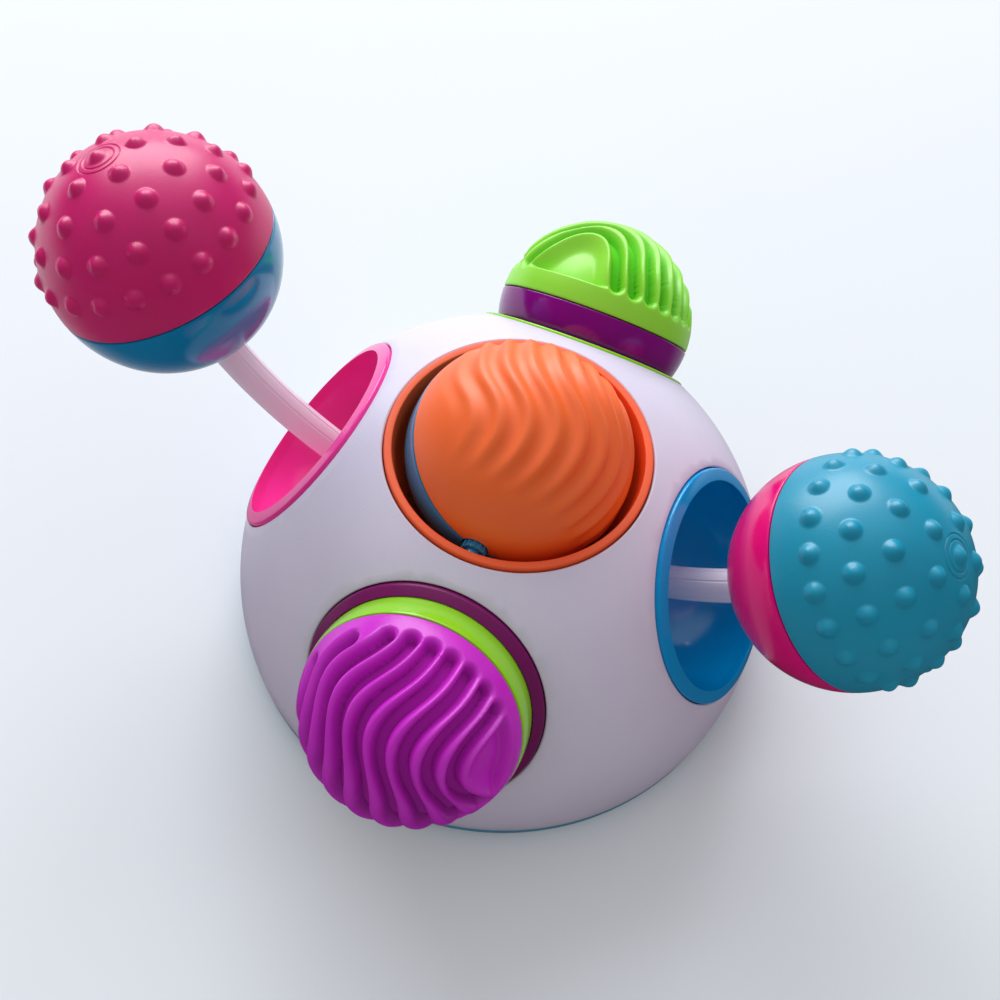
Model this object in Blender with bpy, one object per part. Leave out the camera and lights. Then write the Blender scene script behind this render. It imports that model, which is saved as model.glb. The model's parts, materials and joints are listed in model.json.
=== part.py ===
# Baby activity ball: a white dome with five coloured cups, each holding a textured ball.
# The pink and blue balls share one curved arm that slides through the dome, the purple and
# green balls are twist knobs, and the orange ball rolls on an axle in the top cup.
# Metres, +Z up. The origin is the middle of the base's underside; blue faces +X, green +Y.
import math

import bmesh
import bpy
from mathutils import Matrix, Vector
from mathutils.geometry import delaunay_2d_cdt

# Balls and cups
BALL_RADIUS = 0.0283
SIDE_TILT = math.radians(33.8)
MOUTH_CLEARANCE = 0.0002
LIP_WIDTH = 0.0023
LIP_DEPTH = 0.0020
KNOB_LIP_RISE = 0.0015
ARM_LIP_RISE = 0.0008
ARM_LIP_INSET = 0.0010
RIM_PROUD = 0.0005
CUP_WALL = 0.0016
CUP_SPACING = 0.0004
FLANGE_WIDTH = 0.0016
FLANGE_THICKNESS = 0.0014
TOP_LIP_WIDTH = 0.0020
TOP_MOUTH_FLARE = 0.0007
ROLLER_CLEARANCE = 0.0018
ROLLER_SINK = 0.0036

# Dome and base
DOME_WALL = 0.0024
DOME_DROP = 0.0050
BASE_THICKNESS = 0.0034
BASE_INSET = 0.0015
BASE_CHAMFER = 0.0008
BASE_RING_HEIGHT = 0.0040
BASE_RING_WALL = 0.0020
POST_RADIUS = 0.0036
POST_INSET = 0.0115
POST_COUNT = 4

# Curved arm with its guide
ARM_RADIUS = 0.0965
ROD_RADIUS = 0.0045
ROD_CLEARANCE = 0.0006
ROD_INSERT = 0.0110
PINK_SWING = math.radians(76.6)
BLUE_SWING = math.radians(60.65)
GUIDE_LENGTH = 0.0300
GUIDE_SIDE_WALL = 0.0040
GUIDE_ROOF = 0.0030
GUIDE_FOOT_MARGIN = 0.0065
GUIDE_FOOT_HEIGHT = 0.0030
GUIDE_ROUNDING = 0.0010

# Twist knobs
PURPLE_STANDOFF = 0.0052
PURPLE_TURN = math.radians(9.5)
PURPLE_SEAM = math.radians(81.0)
PURPLE_BAND = 0.0045
GREEN_STANDOFF = 0.0091
GREEN_TURN = math.radians(70.0)
GREEN_BAND = 0.0062
SPINDLE_RADIUS = 0.0040
SHOULDER_WIDTH = 0.0025
BUSH_WALL = 0.0020
BUSH_FLANGE_WIDTH = 0.0025
BUSH_FLANGE_THICKNESS = 0.0018
BUSH_TAIL = 0.0050
CLIP_WIDTH = 0.0028
CLIP_THICKNESS = 0.0012
SPINDLE_TAIL = 0.0015

# Rolling ball
ROLLER_TURN = math.radians(25.0)
AXLE_RADIUS = 0.0022
JOURNAL_RADIUS = 0.0018
HUB_RADIUS = 0.0031
HUB_SINK = 0.0006
HUB_RIB_HEIGHT = 0.0004
HUB_RIB_COUNT = 12

# Ball shells
SOFT_WALL = 0.0026
BACK_WALL = 0.0022
SPIGOT_WALL = 0.0015
SPIGOT_HEIGHT = 0.0030
SOCKET_WALL = 0.0022
SOCKET_FLOOR = 0.0025
ARM_CAP_SEAM = math.radians(92.0)
HALF_SEAM = math.radians(90.0)

# Textures of the soft caps
BUMP_RADIUS = 0.0026
BUMP_HEIGHT = 0.0014
BUMP_RINGS = ((0, 1), (18, 5), (36, 10), (54, 15), (72, 20))
PINK_BUMP_TURN = math.radians(-5.0)
BLUE_BUMP_TURN = math.radians(10.0)
BUMP_BASE_CORNERS = 5
BUMP_TOP_CORNERS = 4
BUMP_TOP_SHARE = 0.5
GROOVE_DEPTH = 0.0030
RIDGE_PITCH = 0.0063
RIDGE_COUNT = 10
RIDGE_CENTRE = 0.0460
RIDGE_TOP_SHARE = 0.17
RIDGE_FOOT_SHARE = 0.30
RIDGE_SWAY = 0.0018
RIDGE_SWAY_LENGTH = 0.0340
RIDGE_LEAN = 0.41
RIDGE_STEPS = 60
RIDGE_END_SPACING = 0.6
HOLLOW_RADIUS = 0.0207
HOLLOW_FLOOR = 0.0142
PLAIN_BAND = 0.0050
WAVE_HEIGHT = 0.0006
WAVE_DEPTH = 0.0008
WAVE_PITCH = 0.0061
WAVE_COUNT = 10
WAVE_SHIFT = 0.0194
WAVE_MIDDLE = 0.0039
WAVE_LEAN = 0.325
WAVE_BEND = 0.0113
WAVE_SAG_TOP = 0.0148
WAVE_SAG = 0.0022
WAVE_SAG_REACH = 0.0235
WAVE_ROUNDS = 10
WAVE_LOW_END = -0.0250
WAVE_LOW_FADE = 0.0090
WAVE_SIDE_FADE = 6
WAVE_STEPS = 14
BAND_STEP = 0.0015

# Fasteners
SCREW_SHANK_RADIUS = 0.0014
SCREW_HEAD_RADIUS = 0.0029
SCREW_HEAD_HEIGHT = 0.0016
SCREW_LENGTH = 0.0120
SCREW_RECESS = 0.0004
PILOT_EXTRA = 0.0020

# Clearances and mesh fineness
PIECE_GAP = 0.0003
FLANGE_GAP = 0.0008
RUNNING_GAP = 0.0004
CUT_MARGIN = 0.0040
DOME_SEGMENTS = 40
DOME_RINGS = 7
CUP_SEGMENTS = 24
CUP_RINGS = 5
BALL_SEGMENTS = 24
BALL_RINGS = 4
SMALL_SEGMENTS = 12
DRILL_TURN = math.radians(7.0)
ROD_STEP = math.radians(6.0)
ROD_SIDES = 10
SHARP_ANGLE = math.radians(40.0)
MOST_RIMS = 8
SEARCH_STEPS = 60

# Sizes that follow from the ones above
MOUTH_RADIUS = BALL_RADIUS + MOUTH_CLEARANCE
SIDE_RIM_RADIUS = MOUTH_RADIUS + LIP_WIDTH
ROLLER_BOWL_RADIUS = BALL_RADIUS + WAVE_HEIGHT + ROLLER_CLEARANCE
TOP_MOUTH_RADIUS = ROLLER_BOWL_RADIUS + TOP_MOUTH_FLARE
TOP_RIM_RADIUS = TOP_MOUTH_RADIUS + TOP_LIP_WIDTH


def rim_plane(dome_radius, rim_radius):
    return math.sqrt(dome_radius ** 2 - rim_radius ** 2) + RIM_PROUD


def gap_between_cups(dome_radius):
    side = rim_plane(dome_radius, SIDE_RIM_RADIUS) - LIP_DEPTH
    top = rim_plane(dome_radius, TOP_RIM_RADIUS) - ROLLER_SINK
    apart = math.sqrt(side ** 2 + top ** 2 - 2 * side * top * math.sin(SIDE_TILT))
    return apart - MOUTH_RADIUS - ROLLER_BOWL_RADIUS - 2 * CUP_WALL


def smallest_dome():
    # Halves the range until it closes on the radius that leaves the wanted spacing
    low = TOP_RIM_RADIUS + CUP_WALL
    high = TOP_RIM_RADIUS * MOST_RIMS
    for _ in range(SEARCH_STEPS):
        middle = (low + high) / 2
        if gap_between_cups(middle) < CUP_SPACING:
            low = middle
        else:
            high = middle
    return high


# The dome is as small as its neighbouring cups allow
DOME_RADIUS = smallest_dome()
DOME_INNER = DOME_RADIUS - DOME_WALL
BASE_TOP = BASE_THICKNESS
CENTRE_HEIGHT = BASE_TOP + PIECE_GAP + DOME_DROP
SIDE_PLANE = rim_plane(DOME_RADIUS, SIDE_RIM_RADIUS)
TOP_PLANE = rim_plane(DOME_RADIUS, TOP_RIM_RADIUS)
ROLLER_HEIGHT = CENTRE_HEIGHT + TOP_PLANE - ROLLER_SINK

# The arm's arc passes through the middle of both rims and is centred above the dome
RIM_REACH = (SIDE_PLANE - RIM_PROUD) * math.cos(SIDE_TILT)
RIM_HEIGHT = CENTRE_HEIGHT + (SIDE_PLANE - RIM_PROUD) * math.sin(SIDE_TILT)
ARM_AXIS_HEIGHT = RIM_HEIGHT + math.sqrt(ARM_RADIUS ** 2 - RIM_REACH ** 2)
ARM_LOW = ARM_AXIS_HEIGHT - ARM_RADIUS
BALL_LEAD = math.asin(BALL_RADIUS / (2 * ARM_RADIUS))

WHITE = (238, 238, 246)
LILAC = (226, 212, 236)
PINK = (214, 38, 118)
PINK_CUP = (240, 70, 158)
BLUE = (62, 164, 194)
BLUE_CUP = (34, 148, 204)
PURPLE = (150, 32, 182)
PURPLE_CUP = (122, 22, 122)
GREEN = (134, 206, 44)
ORANGE = (240, 100, 44)
ORANGE_CUP = (238, 98, 50)
TEAL = (70, 158, 190)
STEEL = (176, 178, 182)

SOFT = 0.62
SATIN = 0.42
GLOSS = 0.2


def linear(channel):
    value = channel / 255
    return value / 12.92 if value <= 0.04045 else ((value + 0.055) / 1.055) ** 2.4


def finish(obj, colour, roughness, metallic=0.0):
    material = bpy.data.materials.new(obj.name)
    material.use_nodes = True
    shader = material.node_tree.nodes["Principled BSDF"]
    shader.inputs["Base Color"].default_value = [linear(c) for c in colour] + [1.0]
    shader.inputs["Roughness"].default_value = roughness
    shader.inputs["Metallic"].default_value = metallic
    obj.data.materials.append(material)


def link(name, data):
    obj = bpy.data.objects.new(name, data)
    bpy.context.scene.collection.objects.link(obj)
    return obj


def place(obj, matrix, parent=None):
    if parent:
        obj.parent = parent
        obj.matrix_parent_inverse = parent.matrix_basis.inverted()
    obj.matrix_basis = matrix
    return obj


def joint_empty(name, position):
    return place(link(name, None), Matrix.Translation(position))


def mesh_object(name, bm):
    bmesh.ops.remove_doubles(bm, verts=bm.verts, dist=1e-6)
    bmesh.ops.recalc_face_normals(bm, faces=bm.faces)
    mesh = bpy.data.meshes.new(name)
    bm.to_mesh(mesh)
    bm.free()
    mesh.shade_smooth()
    mesh.set_sharp_from_angle(angle=SHARP_ANGLE)
    return link(name, mesh)


def turned(name, outline, segments):
    # A closed outline of (radius, height) points, spun about Z; an edge on the axis is left out
    bm = bmesh.new()
    points = [bm.verts.new((radius, 0.0, height)) for radius, height in outline]
    edges = [bm.edges.new((points[i - 1], points[i])) for i in range(len(points))
             if outline[i - 1][0] + outline[i][0] > 1e-6]
    bmesh.ops.spin(bm, geom=points + edges, cent=(0, 0, 0), axis=(0, 0, 1),
                   angle=math.tau, steps=segments, use_merge=True)
    return mesh_object(name, bm)


def rod_of(name, radius, low, high, segments=SMALL_SEGMENTS):
    return turned(name, [(0, high), (radius, high), (radius, low), (0, low)], segments)


def arc(radius, start, stop, steps, centre=0.0):
    # Points on a circle round (0, centre), by angle from the +Z axis
    angles = [start + (stop - start) * i / steps for i in range(steps + 1)]
    return [(max(0.0, radius * math.sin(a)), centre + radius * math.cos(a)) for a in angles]


def cut(target, tool, operation="DIFFERENCE"):
    tool.hide_render = True
    tool.display_type = "WIRE"
    modifier = target.modifiers.new(tool.name, "BOOLEAN")
    modifier.operation = operation
    modifier.object = tool
    modifier.solver = "EXACT"


def facing(direction, position, spin=0.0):
    # Local Z looks along the direction, and local Y stays as near to up as it can
    turn = Vector(direction).to_track_quat("Z", "Y").to_matrix().to_4x4()
    return Matrix.Translation(position) @ turn @ Matrix.Rotation(spin, 4, "Z")


def upright(x, y):
    # Turned a little, so that no edge of a drill lies on an edge of what it cuts
    return Matrix.Translation((x, y, 0)) @ Matrix.Rotation(DRILL_TURN, 4, "Z")


def hole_axis(azimuth):
    flat = math.cos(SIDE_TILT)
    return Vector((flat * math.cos(azimuth), flat * math.sin(azimuth), math.sin(SIDE_TILT)))


def cup_frame(azimuth):
    return facing(hole_axis(azimuth), (0, 0, CENTRE_HEIGHT))


def arc_point(swing, side):
    # A point of the arm's arc, by its angle from straight down; side +1 is blue, -1 is pink
    across = ARM_RADIUS * math.sin(swing)
    return Vector((side * across, 0, ARM_AXIS_HEIGHT - ARM_RADIUS * math.cos(swing)))


def arc_tube(name, radius, pink_end, blue_end):
    # A round bar along the arm's arc between two angles, spun about the arc's centre
    bm = bmesh.new()
    outward = Vector((-math.sin(pink_end), 0, -math.cos(pink_end)))
    ring = []
    for i in range(ROD_SIDES):
        turn = math.tau * i / ROD_SIDES
        spoke = outward * math.cos(turn) + Vector((0, math.sin(turn), 0))
        ring.append(bm.verts.new(outward * ARM_RADIUS + spoke * radius))
    edges = [bm.edges.new((ring[i - 1], ring[i])) for i in range(ROD_SIDES)]
    bmesh.ops.spin(bm, geom=ring + edges, cent=(0, 0, 0), axis=(0, -1, 0), angle=pink_end + blue_end,
                   steps=math.ceil((pink_end + blue_end) / ROD_STEP))
    bmesh.ops.holes_fill(bm, edges=bm.edges, sides=ROD_SIDES)
    return place(mesh_object(name, bm), Matrix.Translation((0, 0, ARM_AXIS_HEIGHT)))


AZIMUTHS = {"blue": 0.0, "green": math.pi / 2, "pink": math.pi, "purple": 3 * math.pi / 2}
PINK_ROD_END = PINK_SWING - (BALL_RADIUS - ROD_INSERT) / ARM_RADIUS
BLUE_ROD_END = BLUE_SWING - (BALL_RADIUS - ROD_INSERT) / ARM_RADIUS


def build_dome():
    low = math.acos(-DOME_DROP / DOME_RADIUS)
    low_inside = math.acos(-DOME_DROP / DOME_INNER)
    outline = arc(DOME_RADIUS, 0, low, DOME_RINGS) + arc(DOME_INNER, low_inside, 0, DOME_RINGS)
    dome = place(turned("dome_shell", outline, DOME_SEGMENTS), Matrix.Translation((0, 0, CENTRE_HEIGHT)))
    for colour, azimuth in AZIMUTHS.items():
        drill = rod_of(f"hole_{colour}", SIDE_RIM_RADIUS + PIECE_GAP,
                       SIDE_PLANE - SIDE_RIM_RADIUS, DOME_RADIUS + CUT_MARGIN, CUP_SEGMENTS)
        cut(dome, place(drill, cup_frame(azimuth)))
    drill = rod_of("hole_orange", TOP_RIM_RADIUS + PIECE_GAP,
                   TOP_PLANE - TOP_RIM_RADIUS, DOME_RADIUS + CUT_MARGIN, CUP_SEGMENTS)
    cut(dome, place(drill, Matrix.Translation((0, 0, CENTRE_HEIGHT))))
    for number, (x, y) in enumerate(post_places(), 1):
        cut(dome, build_post(f"post_{number}", x, y), "UNION")
        pilot = rod_of(f"pilot_{number}", SCREW_SHANK_RADIUS + PIECE_GAP, -CUT_MARGIN,
                       SCREW_LENGTH + PILOT_EXTRA)
        cut(dome, place(pilot, upright(x, y)))
    finish(dome, WHITE, SATIN)


def post_places():
    reach = DOME_INNER - POST_INSET
    angles = [math.pi / 4 + math.tau * i / POST_COUNT for i in range(POST_COUNT)]
    return [(reach * math.cos(a), reach * math.sin(a)) for a in angles]


def build_post(name, x, y):
    # A screw post whose top follows the middle of the dome's wall
    bm = bmesh.new()
    bmesh.ops.create_cone(bm, cap_ends=True, cap_tris=True, segments=SMALL_SEGMENTS,
                          radius1=POST_RADIUS, radius2=POST_RADIUS, depth=1.0)
    wall_middle = DOME_RADIUS - DOME_WALL / 2
    for vert in bm.verts:
        if vert.co.z > 0:
            across = math.hypot(x + vert.co.x, y + vert.co.y)
            vert.co.z = CENTRE_HEIGHT + math.sqrt(wall_middle ** 2 - across ** 2)
        else:
            vert.co.z = CENTRE_HEIGHT - DOME_DROP
    return place(mesh_object(name, bm), Matrix.Translation((x, y, 0)))


def build_base():
    edge = math.sqrt(DOME_RADIUS ** 2 - DOME_DROP ** 2) - BASE_INSET
    ring = math.sqrt(DOME_INNER ** 2 - DOME_DROP ** 2) - PIECE_GAP
    ring_top = BASE_TOP + BASE_RING_HEIGHT
    outline = [(0, BASE_TOP), (ring - BASE_RING_WALL, BASE_TOP), (ring - BASE_RING_WALL, ring_top),
               (ring, ring_top), (ring, BASE_TOP), (edge, BASE_TOP), (edge, BASE_CHAMFER),
               (edge - BASE_CHAMFER, 0), (0, 0)]
    base = turned("base_plate", outline, DOME_SEGMENTS)
    screw_places = [(f"base_screw_{n}", p) for n, p in enumerate(post_places(), 1)]
    screw_places += [(f"guide_screw_{n}", p) for n, p in enumerate(guide_screw_places(), 1)]
    for name, (x, y) in screw_places:
        at = upright(x, y)
        seat = SCREW_RECESS + SCREW_HEAD_HEIGHT + PIECE_GAP
        bore = SCREW_SHANK_RADIUS + PIECE_GAP
        head_bore = SCREW_HEAD_RADIUS + PIECE_GAP
        hole = [(0, BASE_TOP + CUT_MARGIN), (bore, BASE_TOP + CUT_MARGIN), (bore, seat),
                (head_bore, seat), (head_bore, -CUT_MARGIN), (0, -CUT_MARGIN)]
        cut(base, place(turned(f"{name}_hole", hole, SMALL_SEGMENTS), at))
        build_screw(name, at)
    finish(base, TEAL, SATIN)


def build_screw(name, at):
    head_top = SCREW_RECESS + SCREW_HEAD_HEIGHT
    outline = [(0, SCREW_LENGTH), (SCREW_SHANK_RADIUS, SCREW_LENGTH - SCREW_SHANK_RADIUS),
               (SCREW_SHANK_RADIUS, head_top), (SCREW_HEAD_RADIUS, head_top),
               (SCREW_HEAD_RADIUS, SCREW_RECESS), (0, SCREW_RECESS)]
    finish(place(turned(name, outline, SMALL_SEGMENTS), at), STEEL, SATIN, 1.0)


def cup_outline(plane, rim, mouth, bowl, bowl_centre, rise=0.0):
    # From the lip down the outside to the bowl's underside, then up the inside
    flange = rim + FLANGE_WIDTH
    under_shell = DOME_INNER - FLANGE_GAP
    flange_top = math.sqrt(under_shell ** 2 - flange ** 2)
    flange_low = flange_top - FLANGE_THICKNESS
    outer = bowl + CUP_WALL
    start = math.acos((flange_low - bowl_centre) / outer)
    lip = [(mouth, plane + rise), (rim, plane), (rim, math.sqrt(under_shell ** 2 - rim ** 2)),
           (flange, flange_top), (flange, flange_low)]
    back = arc(outer, start, math.pi, CUP_RINGS - 1, bowl_centre)
    inside = arc(bowl, math.pi, math.pi / 2, CUP_RINGS, bowl_centre)
    return lip + back + inside


def build_cups():
    # The knobs sit inside their lips; the arm's balls are wider than theirs and stop outside
    bowl_centre = SIDE_PLANE - LIP_DEPTH
    knob_cup = cup_outline(SIDE_PLANE, SIDE_RIM_RADIUS, MOUTH_RADIUS, MOUTH_RADIUS,
                           bowl_centre, KNOB_LIP_RISE)
    arm_cup = cup_outline(SIDE_PLANE, SIDE_RIM_RADIUS, MOUTH_RADIUS - ARM_LIP_INSET, MOUTH_RADIUS,
                          bowl_centre, ARM_LIP_RISE)
    colours = {"pink": PINK_CUP, "blue": BLUE_CUP, "purple": PURPLE_CUP, "green": GREEN}
    for name, colour in colours.items():
        on_arm = name in ("pink", "blue")
        outline = arm_cup if on_arm else knob_cup
        cup = place(turned(f"cup_{name}", outline, CUP_SEGMENTS), cup_frame(AZIMUTHS[name]))
        if on_arm:
            drill = arc_tube(f"rod_way_{name}", ROD_RADIUS + ROD_CLEARANCE, PINK_ROD_END, BLUE_ROD_END)
        else:
            drill = rod_of(f"bush_way_{name}", bush_radius() + PIECE_GAP,
                           0, bowl_centre, SMALL_SEGMENTS)
            place(drill, cup_frame(AZIMUTHS[name]))
        cut(cup, drill)
        finish(cup, colour, GLOSS)
    top = cup_outline(TOP_PLANE, TOP_RIM_RADIUS, TOP_MOUTH_RADIUS, ROLLER_BOWL_RADIUS,
                      TOP_PLANE - ROLLER_SINK)
    cup = place(turned("cup_orange", top, CUP_SEGMENTS), Matrix.Translation((0, 0, CENTRE_HEIGHT)))
    reach = ROLLER_BOWL_RADIUS + CUP_WALL + CUT_MARGIN
    pocket = rod_of("axle_way_cup", JOURNAL_RADIUS + RUNNING_GAP, -reach, reach)
    cut(cup, place(pocket, facing((0, 1, 0), (0, 0, ROLLER_HEIGHT))))
    finish(cup, ORANGE_CUP, SATIN)


def bush_radius():
    return SPINDLE_RADIUS + RUNNING_GAP + BUSH_WALL


def guide_screw_places():
    reach = GUIDE_LENGTH / 4
    return [(-reach, 0), (reach, 0)]


def block(name, size, centre):
    bm = bmesh.new()
    bmesh.ops.create_cube(bm, size=1.0, matrix=Matrix.Diagonal((*size, 1.0)))
    bmesh.ops.bevel(bm, geom=[e for e in bm.edges if abs(e.verts[0].co.z - e.verts[1].co.z) > 1e-6],
                    offset=GUIDE_ROUNDING, segments=2, profile=0.5, affect="EDGES")
    return place(mesh_object(name, bm), Matrix.Translation(centre))


def build_guide():
    # A post on the base with a curved bore, which holds the arm at its lowest stretch
    low = BASE_TOP + PIECE_GAP
    half = GUIDE_LENGTH / 2
    rise = ARM_RADIUS - math.sqrt(ARM_RADIUS ** 2 - half ** 2)
    high = ARM_LOW + rise + ROD_RADIUS + ROD_CLEARANCE + GUIDE_ROOF
    width = 2 * (ROD_RADIUS + ROD_CLEARANCE + GUIDE_SIDE_WALL)
    guide = block("arm_guide", (GUIDE_LENGTH, width, high - low), (0, 0, (low + high) / 2))
    foot_width = width + 2 * GUIDE_FOOT_MARGIN
    foot = block("guide_foot", (GUIDE_LENGTH, foot_width, GUIDE_FOOT_HEIGHT),
                 (0, 0, low + GUIDE_FOOT_HEIGHT / 2))
    cut(guide, foot, "UNION")
    cut(guide, arc_tube("rod_way_guide", ROD_RADIUS + ROD_CLEARANCE, PINK_ROD_END, BLUE_ROD_END))
    for number, (x, y) in enumerate(guide_screw_places(), 1):
        pilot = rod_of(f"guide_pilot_{number}", SCREW_SHANK_RADIUS + PIECE_GAP, -CUT_MARGIN,
                       SCREW_LENGTH + PILOT_EXTRA)
        cut(guide, place(pilot, upright(x, y)))
    finish(guide, WHITE, SATIN)


def polar(radius, angle):
    return (max(0.0, radius * math.sin(angle)), radius * math.cos(angle))


def back_outline(seam, soft_wall, socket):
    # The hard back of a ball: a bowl with a spigot for the soft cap and a solid boss at its pole
    edge = seam + PIECE_GAP / BALL_RADIUS
    spigot = BALL_RADIUS - soft_wall - PIECE_GAP
    spigot_inner = spigot - SPIGOT_WALL
    spigot_top = seam - SPIGOT_HEIGHT / BALL_RADIUS
    inner = BALL_RADIUS - BACK_WALL
    step = edge + (SPIGOT_HEIGHT + soft_wall) / BALL_RADIUS
    boss_top = -BALL_RADIUS + ROD_INSERT + PIECE_GAP + SOCKET_FLOOR
    boss_meet = math.pi - math.asin(socket / inner)
    outline = [polar(spigot_inner, spigot_top), polar(spigot, spigot_top), polar(spigot, edge)]
    outline += arc(BALL_RADIUS, edge, math.pi, BALL_RINGS)
    outline += [(0, boss_top), (socket, boss_top)]
    outline += arc(inner, boss_meet, step, BALL_RINGS - 1)
    return outline + [polar(spigot_inner, edge)]


def build_back(name, colour, matrix, parent, seam, soft_wall, socket):
    back = turned(name, back_outline(seam, soft_wall, socket), BALL_SEGMENTS)
    place(back, matrix, parent)
    finish(back, colour, GLOSS)
    return back


def on_sphere(flat, height):
    # The caps' textures are laid out flat, as polar angle times direction, and lifted here
    angle = flat.length
    radius = BALL_RADIUS + height
    if angle < 1e-9:
        return Vector((0, 0, radius))
    across = flat.normalized() * math.sin(angle)
    return Vector((across.x, across.y, math.cos(angle))) * radius


def ring_points(angle, count):
    return [Vector((angle * math.cos(math.tau * i / count), angle * math.sin(math.tau * i / count)))
            for i in range(count)]


def build_cap(name, colour, matrix, parent, seam, soft_wall, texture):
    # A soft skin: textured outside, plain inside, open at its seam
    points = ring_points(seam, BALL_SEGMENTS)
    heights = [0.0] * len(points)
    edges = [(i - 1, i) for i in range(1, len(points))] + [(len(points) - 1, 0)]
    for line, line_heights in texture:
        first = len(points)
        points += line
        heights += line_heights
        edges += [(i - 1, i) for i in range(first + 1, len(points))]
    flat, _, faces, sources, _, _ = delaunay_2d_cdt(points, edges, [], 0, 1e-7)
    bm = bmesh.new()
    outer = [bm.verts.new(on_sphere(Vector(p), heights[s[0]] if s else 0.0)) for p, s in zip(flat, sources)]
    for face in faces:
        bm.faces.new([outer[i] for i in face])
    rim = [outer[[n for n, s in enumerate(sources) if i in s][0]] for i in range(BALL_SEGMENTS)]
    over_spigot = seam - (SPIGOT_HEIGHT + PIECE_GAP) / BALL_RADIUS
    inside = [seam] + [over_spigot * (1 - ring / BALL_RINGS) for ring in range(BALL_RINGS)]
    for angle in inside:
        circle = [bm.verts.new(on_sphere(p, -soft_wall)) for p in ring_points(angle, BALL_SEGMENTS)]
        for i in range(BALL_SEGMENTS):
            bm.faces.new((rim[i - 1], rim[i], circle[i], circle[i - 1]))
        rim = circle
    pole = bm.verts.new((0, 0, BALL_RADIUS - soft_wall))
    for i in range(BALL_SEGMENTS):
        bm.faces.new((rim[i - 1], rim[i], pole))
    cap = place(mesh_object(name, bm), matrix, parent)
    finish(cap, colour, SOFT)
    return cap


def bumps():
    # Low round bumps in rings about the pole
    lines = []
    shape = ((1.0, 0.0, BUMP_BASE_CORNERS), (BUMP_TOP_SHARE, 1.0, BUMP_TOP_CORNERS))
    for degrees, count in BUMP_RINGS:
        angle = math.radians(degrees)
        for i in range(count):
            around = math.tau * i / count
            middle = Vector((math.sin(angle) * math.cos(around), math.sin(angle) * math.sin(around),
                             math.cos(angle)))
            along = middle.orthogonal().normalized()
            beside = middle.cross(along)
            for spread, height, corners in shape:
                line = []
                for c in range(corners):
                    turn = math.tau * c / corners
                    lean = (along * math.cos(turn) + beside * math.sin(turn)) * spread * BUMP_RADIUS
                    spot = (middle * BALL_RADIUS + lean).normalized()
                    flat = Vector((spot.x, spot.y))
                    line.append(flat.normalized() * math.acos(spot.z) if flat.length > 1e-9 else flat)
                lines.append((line, [height * BUMP_HEIGHT] * corners))
    return lines


def trimmed(line, limit):
    return [p for p in line if p.length < limit]


def ridges(seam, band):
    # Narrow, swaying ridges that nest round a half-moon hollow at the plain band
    pitch = RIDGE_PITCH / BALL_RADIUS
    limit = seam - band / BALL_RADIUS
    floor_limit = limit - RIDGE_FOOT_SHARE * pitch
    centre = RIDGE_CENTRE / BALL_RADIUS
    spread = math.asin(min(1.0, limit / centre))
    hollow_radius = HOLLOW_RADIUS / BALL_RADIUS
    hollow_floor = HOLLOW_FLOOR / BALL_RADIUS
    sway = RIDGE_SWAY / BALL_RADIUS
    sway_length = RIDGE_SWAY_LENGTH / BALL_RADIUS
    lines = [([p], [0.0]) for p in ring_points(limit + BAND_STEP / BALL_RADIUS, BALL_SEGMENTS)]
    lines.append(([Vector((floor_limit, 0))], [-GROOVE_DEPTH]))
    section = ((-RIDGE_FOOT_SHARE, -GROOVE_DEPTH), (-RIDGE_TOP_SHARE, 0.0),
               (RIDGE_TOP_SHARE, 0.0), (RIDGE_FOOT_SHARE, -GROOVE_DEPTH))
    for i in range(RIDGE_COUNT):
        for offset, height in section:
            reach = hollow_radius + (i + RIDGE_FOOT_SHARE + offset) * pitch
            if i == 0 and offset == -RIDGE_FOOT_SHARE:
                reach = hollow_floor
            lean = RIDGE_LEAN * (reach - hollow_radius)
            line = []
            for k in range(RIDGE_STEPS + 1):
                turn = spread * (2 * k / RIDGE_STEPS - 1)
                far = reach + sway * math.cos(math.tau * (reach * turn - lean) / sway_length)
                line.append(Vector((centre - math.cos(turn) * far, math.sin(turn) * far)))
            line = thinned(trimmed(line, floor_limit if height else limit), pitch)
            if len(line) > 1:
                lines.append((line, [height] * len(line)))
    return lines


def thinned(line, spacing):
    # Keep the ends, and points about one spacing apart between them
    kept = line[:1]
    for point in line[1:-1]:
        from_end = (point - line[-1]).length
        if (point - kept[-1]).length >= spacing and from_end >= spacing * RIDGE_END_SPACING:
            kept.append(point)
    return kept + line[-1:] if len(line) > 1 else kept


def wave_point(start, along):
    # Each dune starts at its own place and bends aside on its way up; the bend leans with it
    low = max(0.0, (WAVE_SAG_TOP - along) / WAVE_SAG_REACH)
    across = start
    for _ in range(WAVE_ROUNDS):
        bend = 1 + math.tanh((along - WAVE_MIDDLE - WAVE_LEAN * across) / WAVE_BEND)
        across = start - WAVE_SHIFT * bend / 2 - WAVE_SAG * low ** 2
    return Vector((across, along)) / BALL_RADIUS


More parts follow.
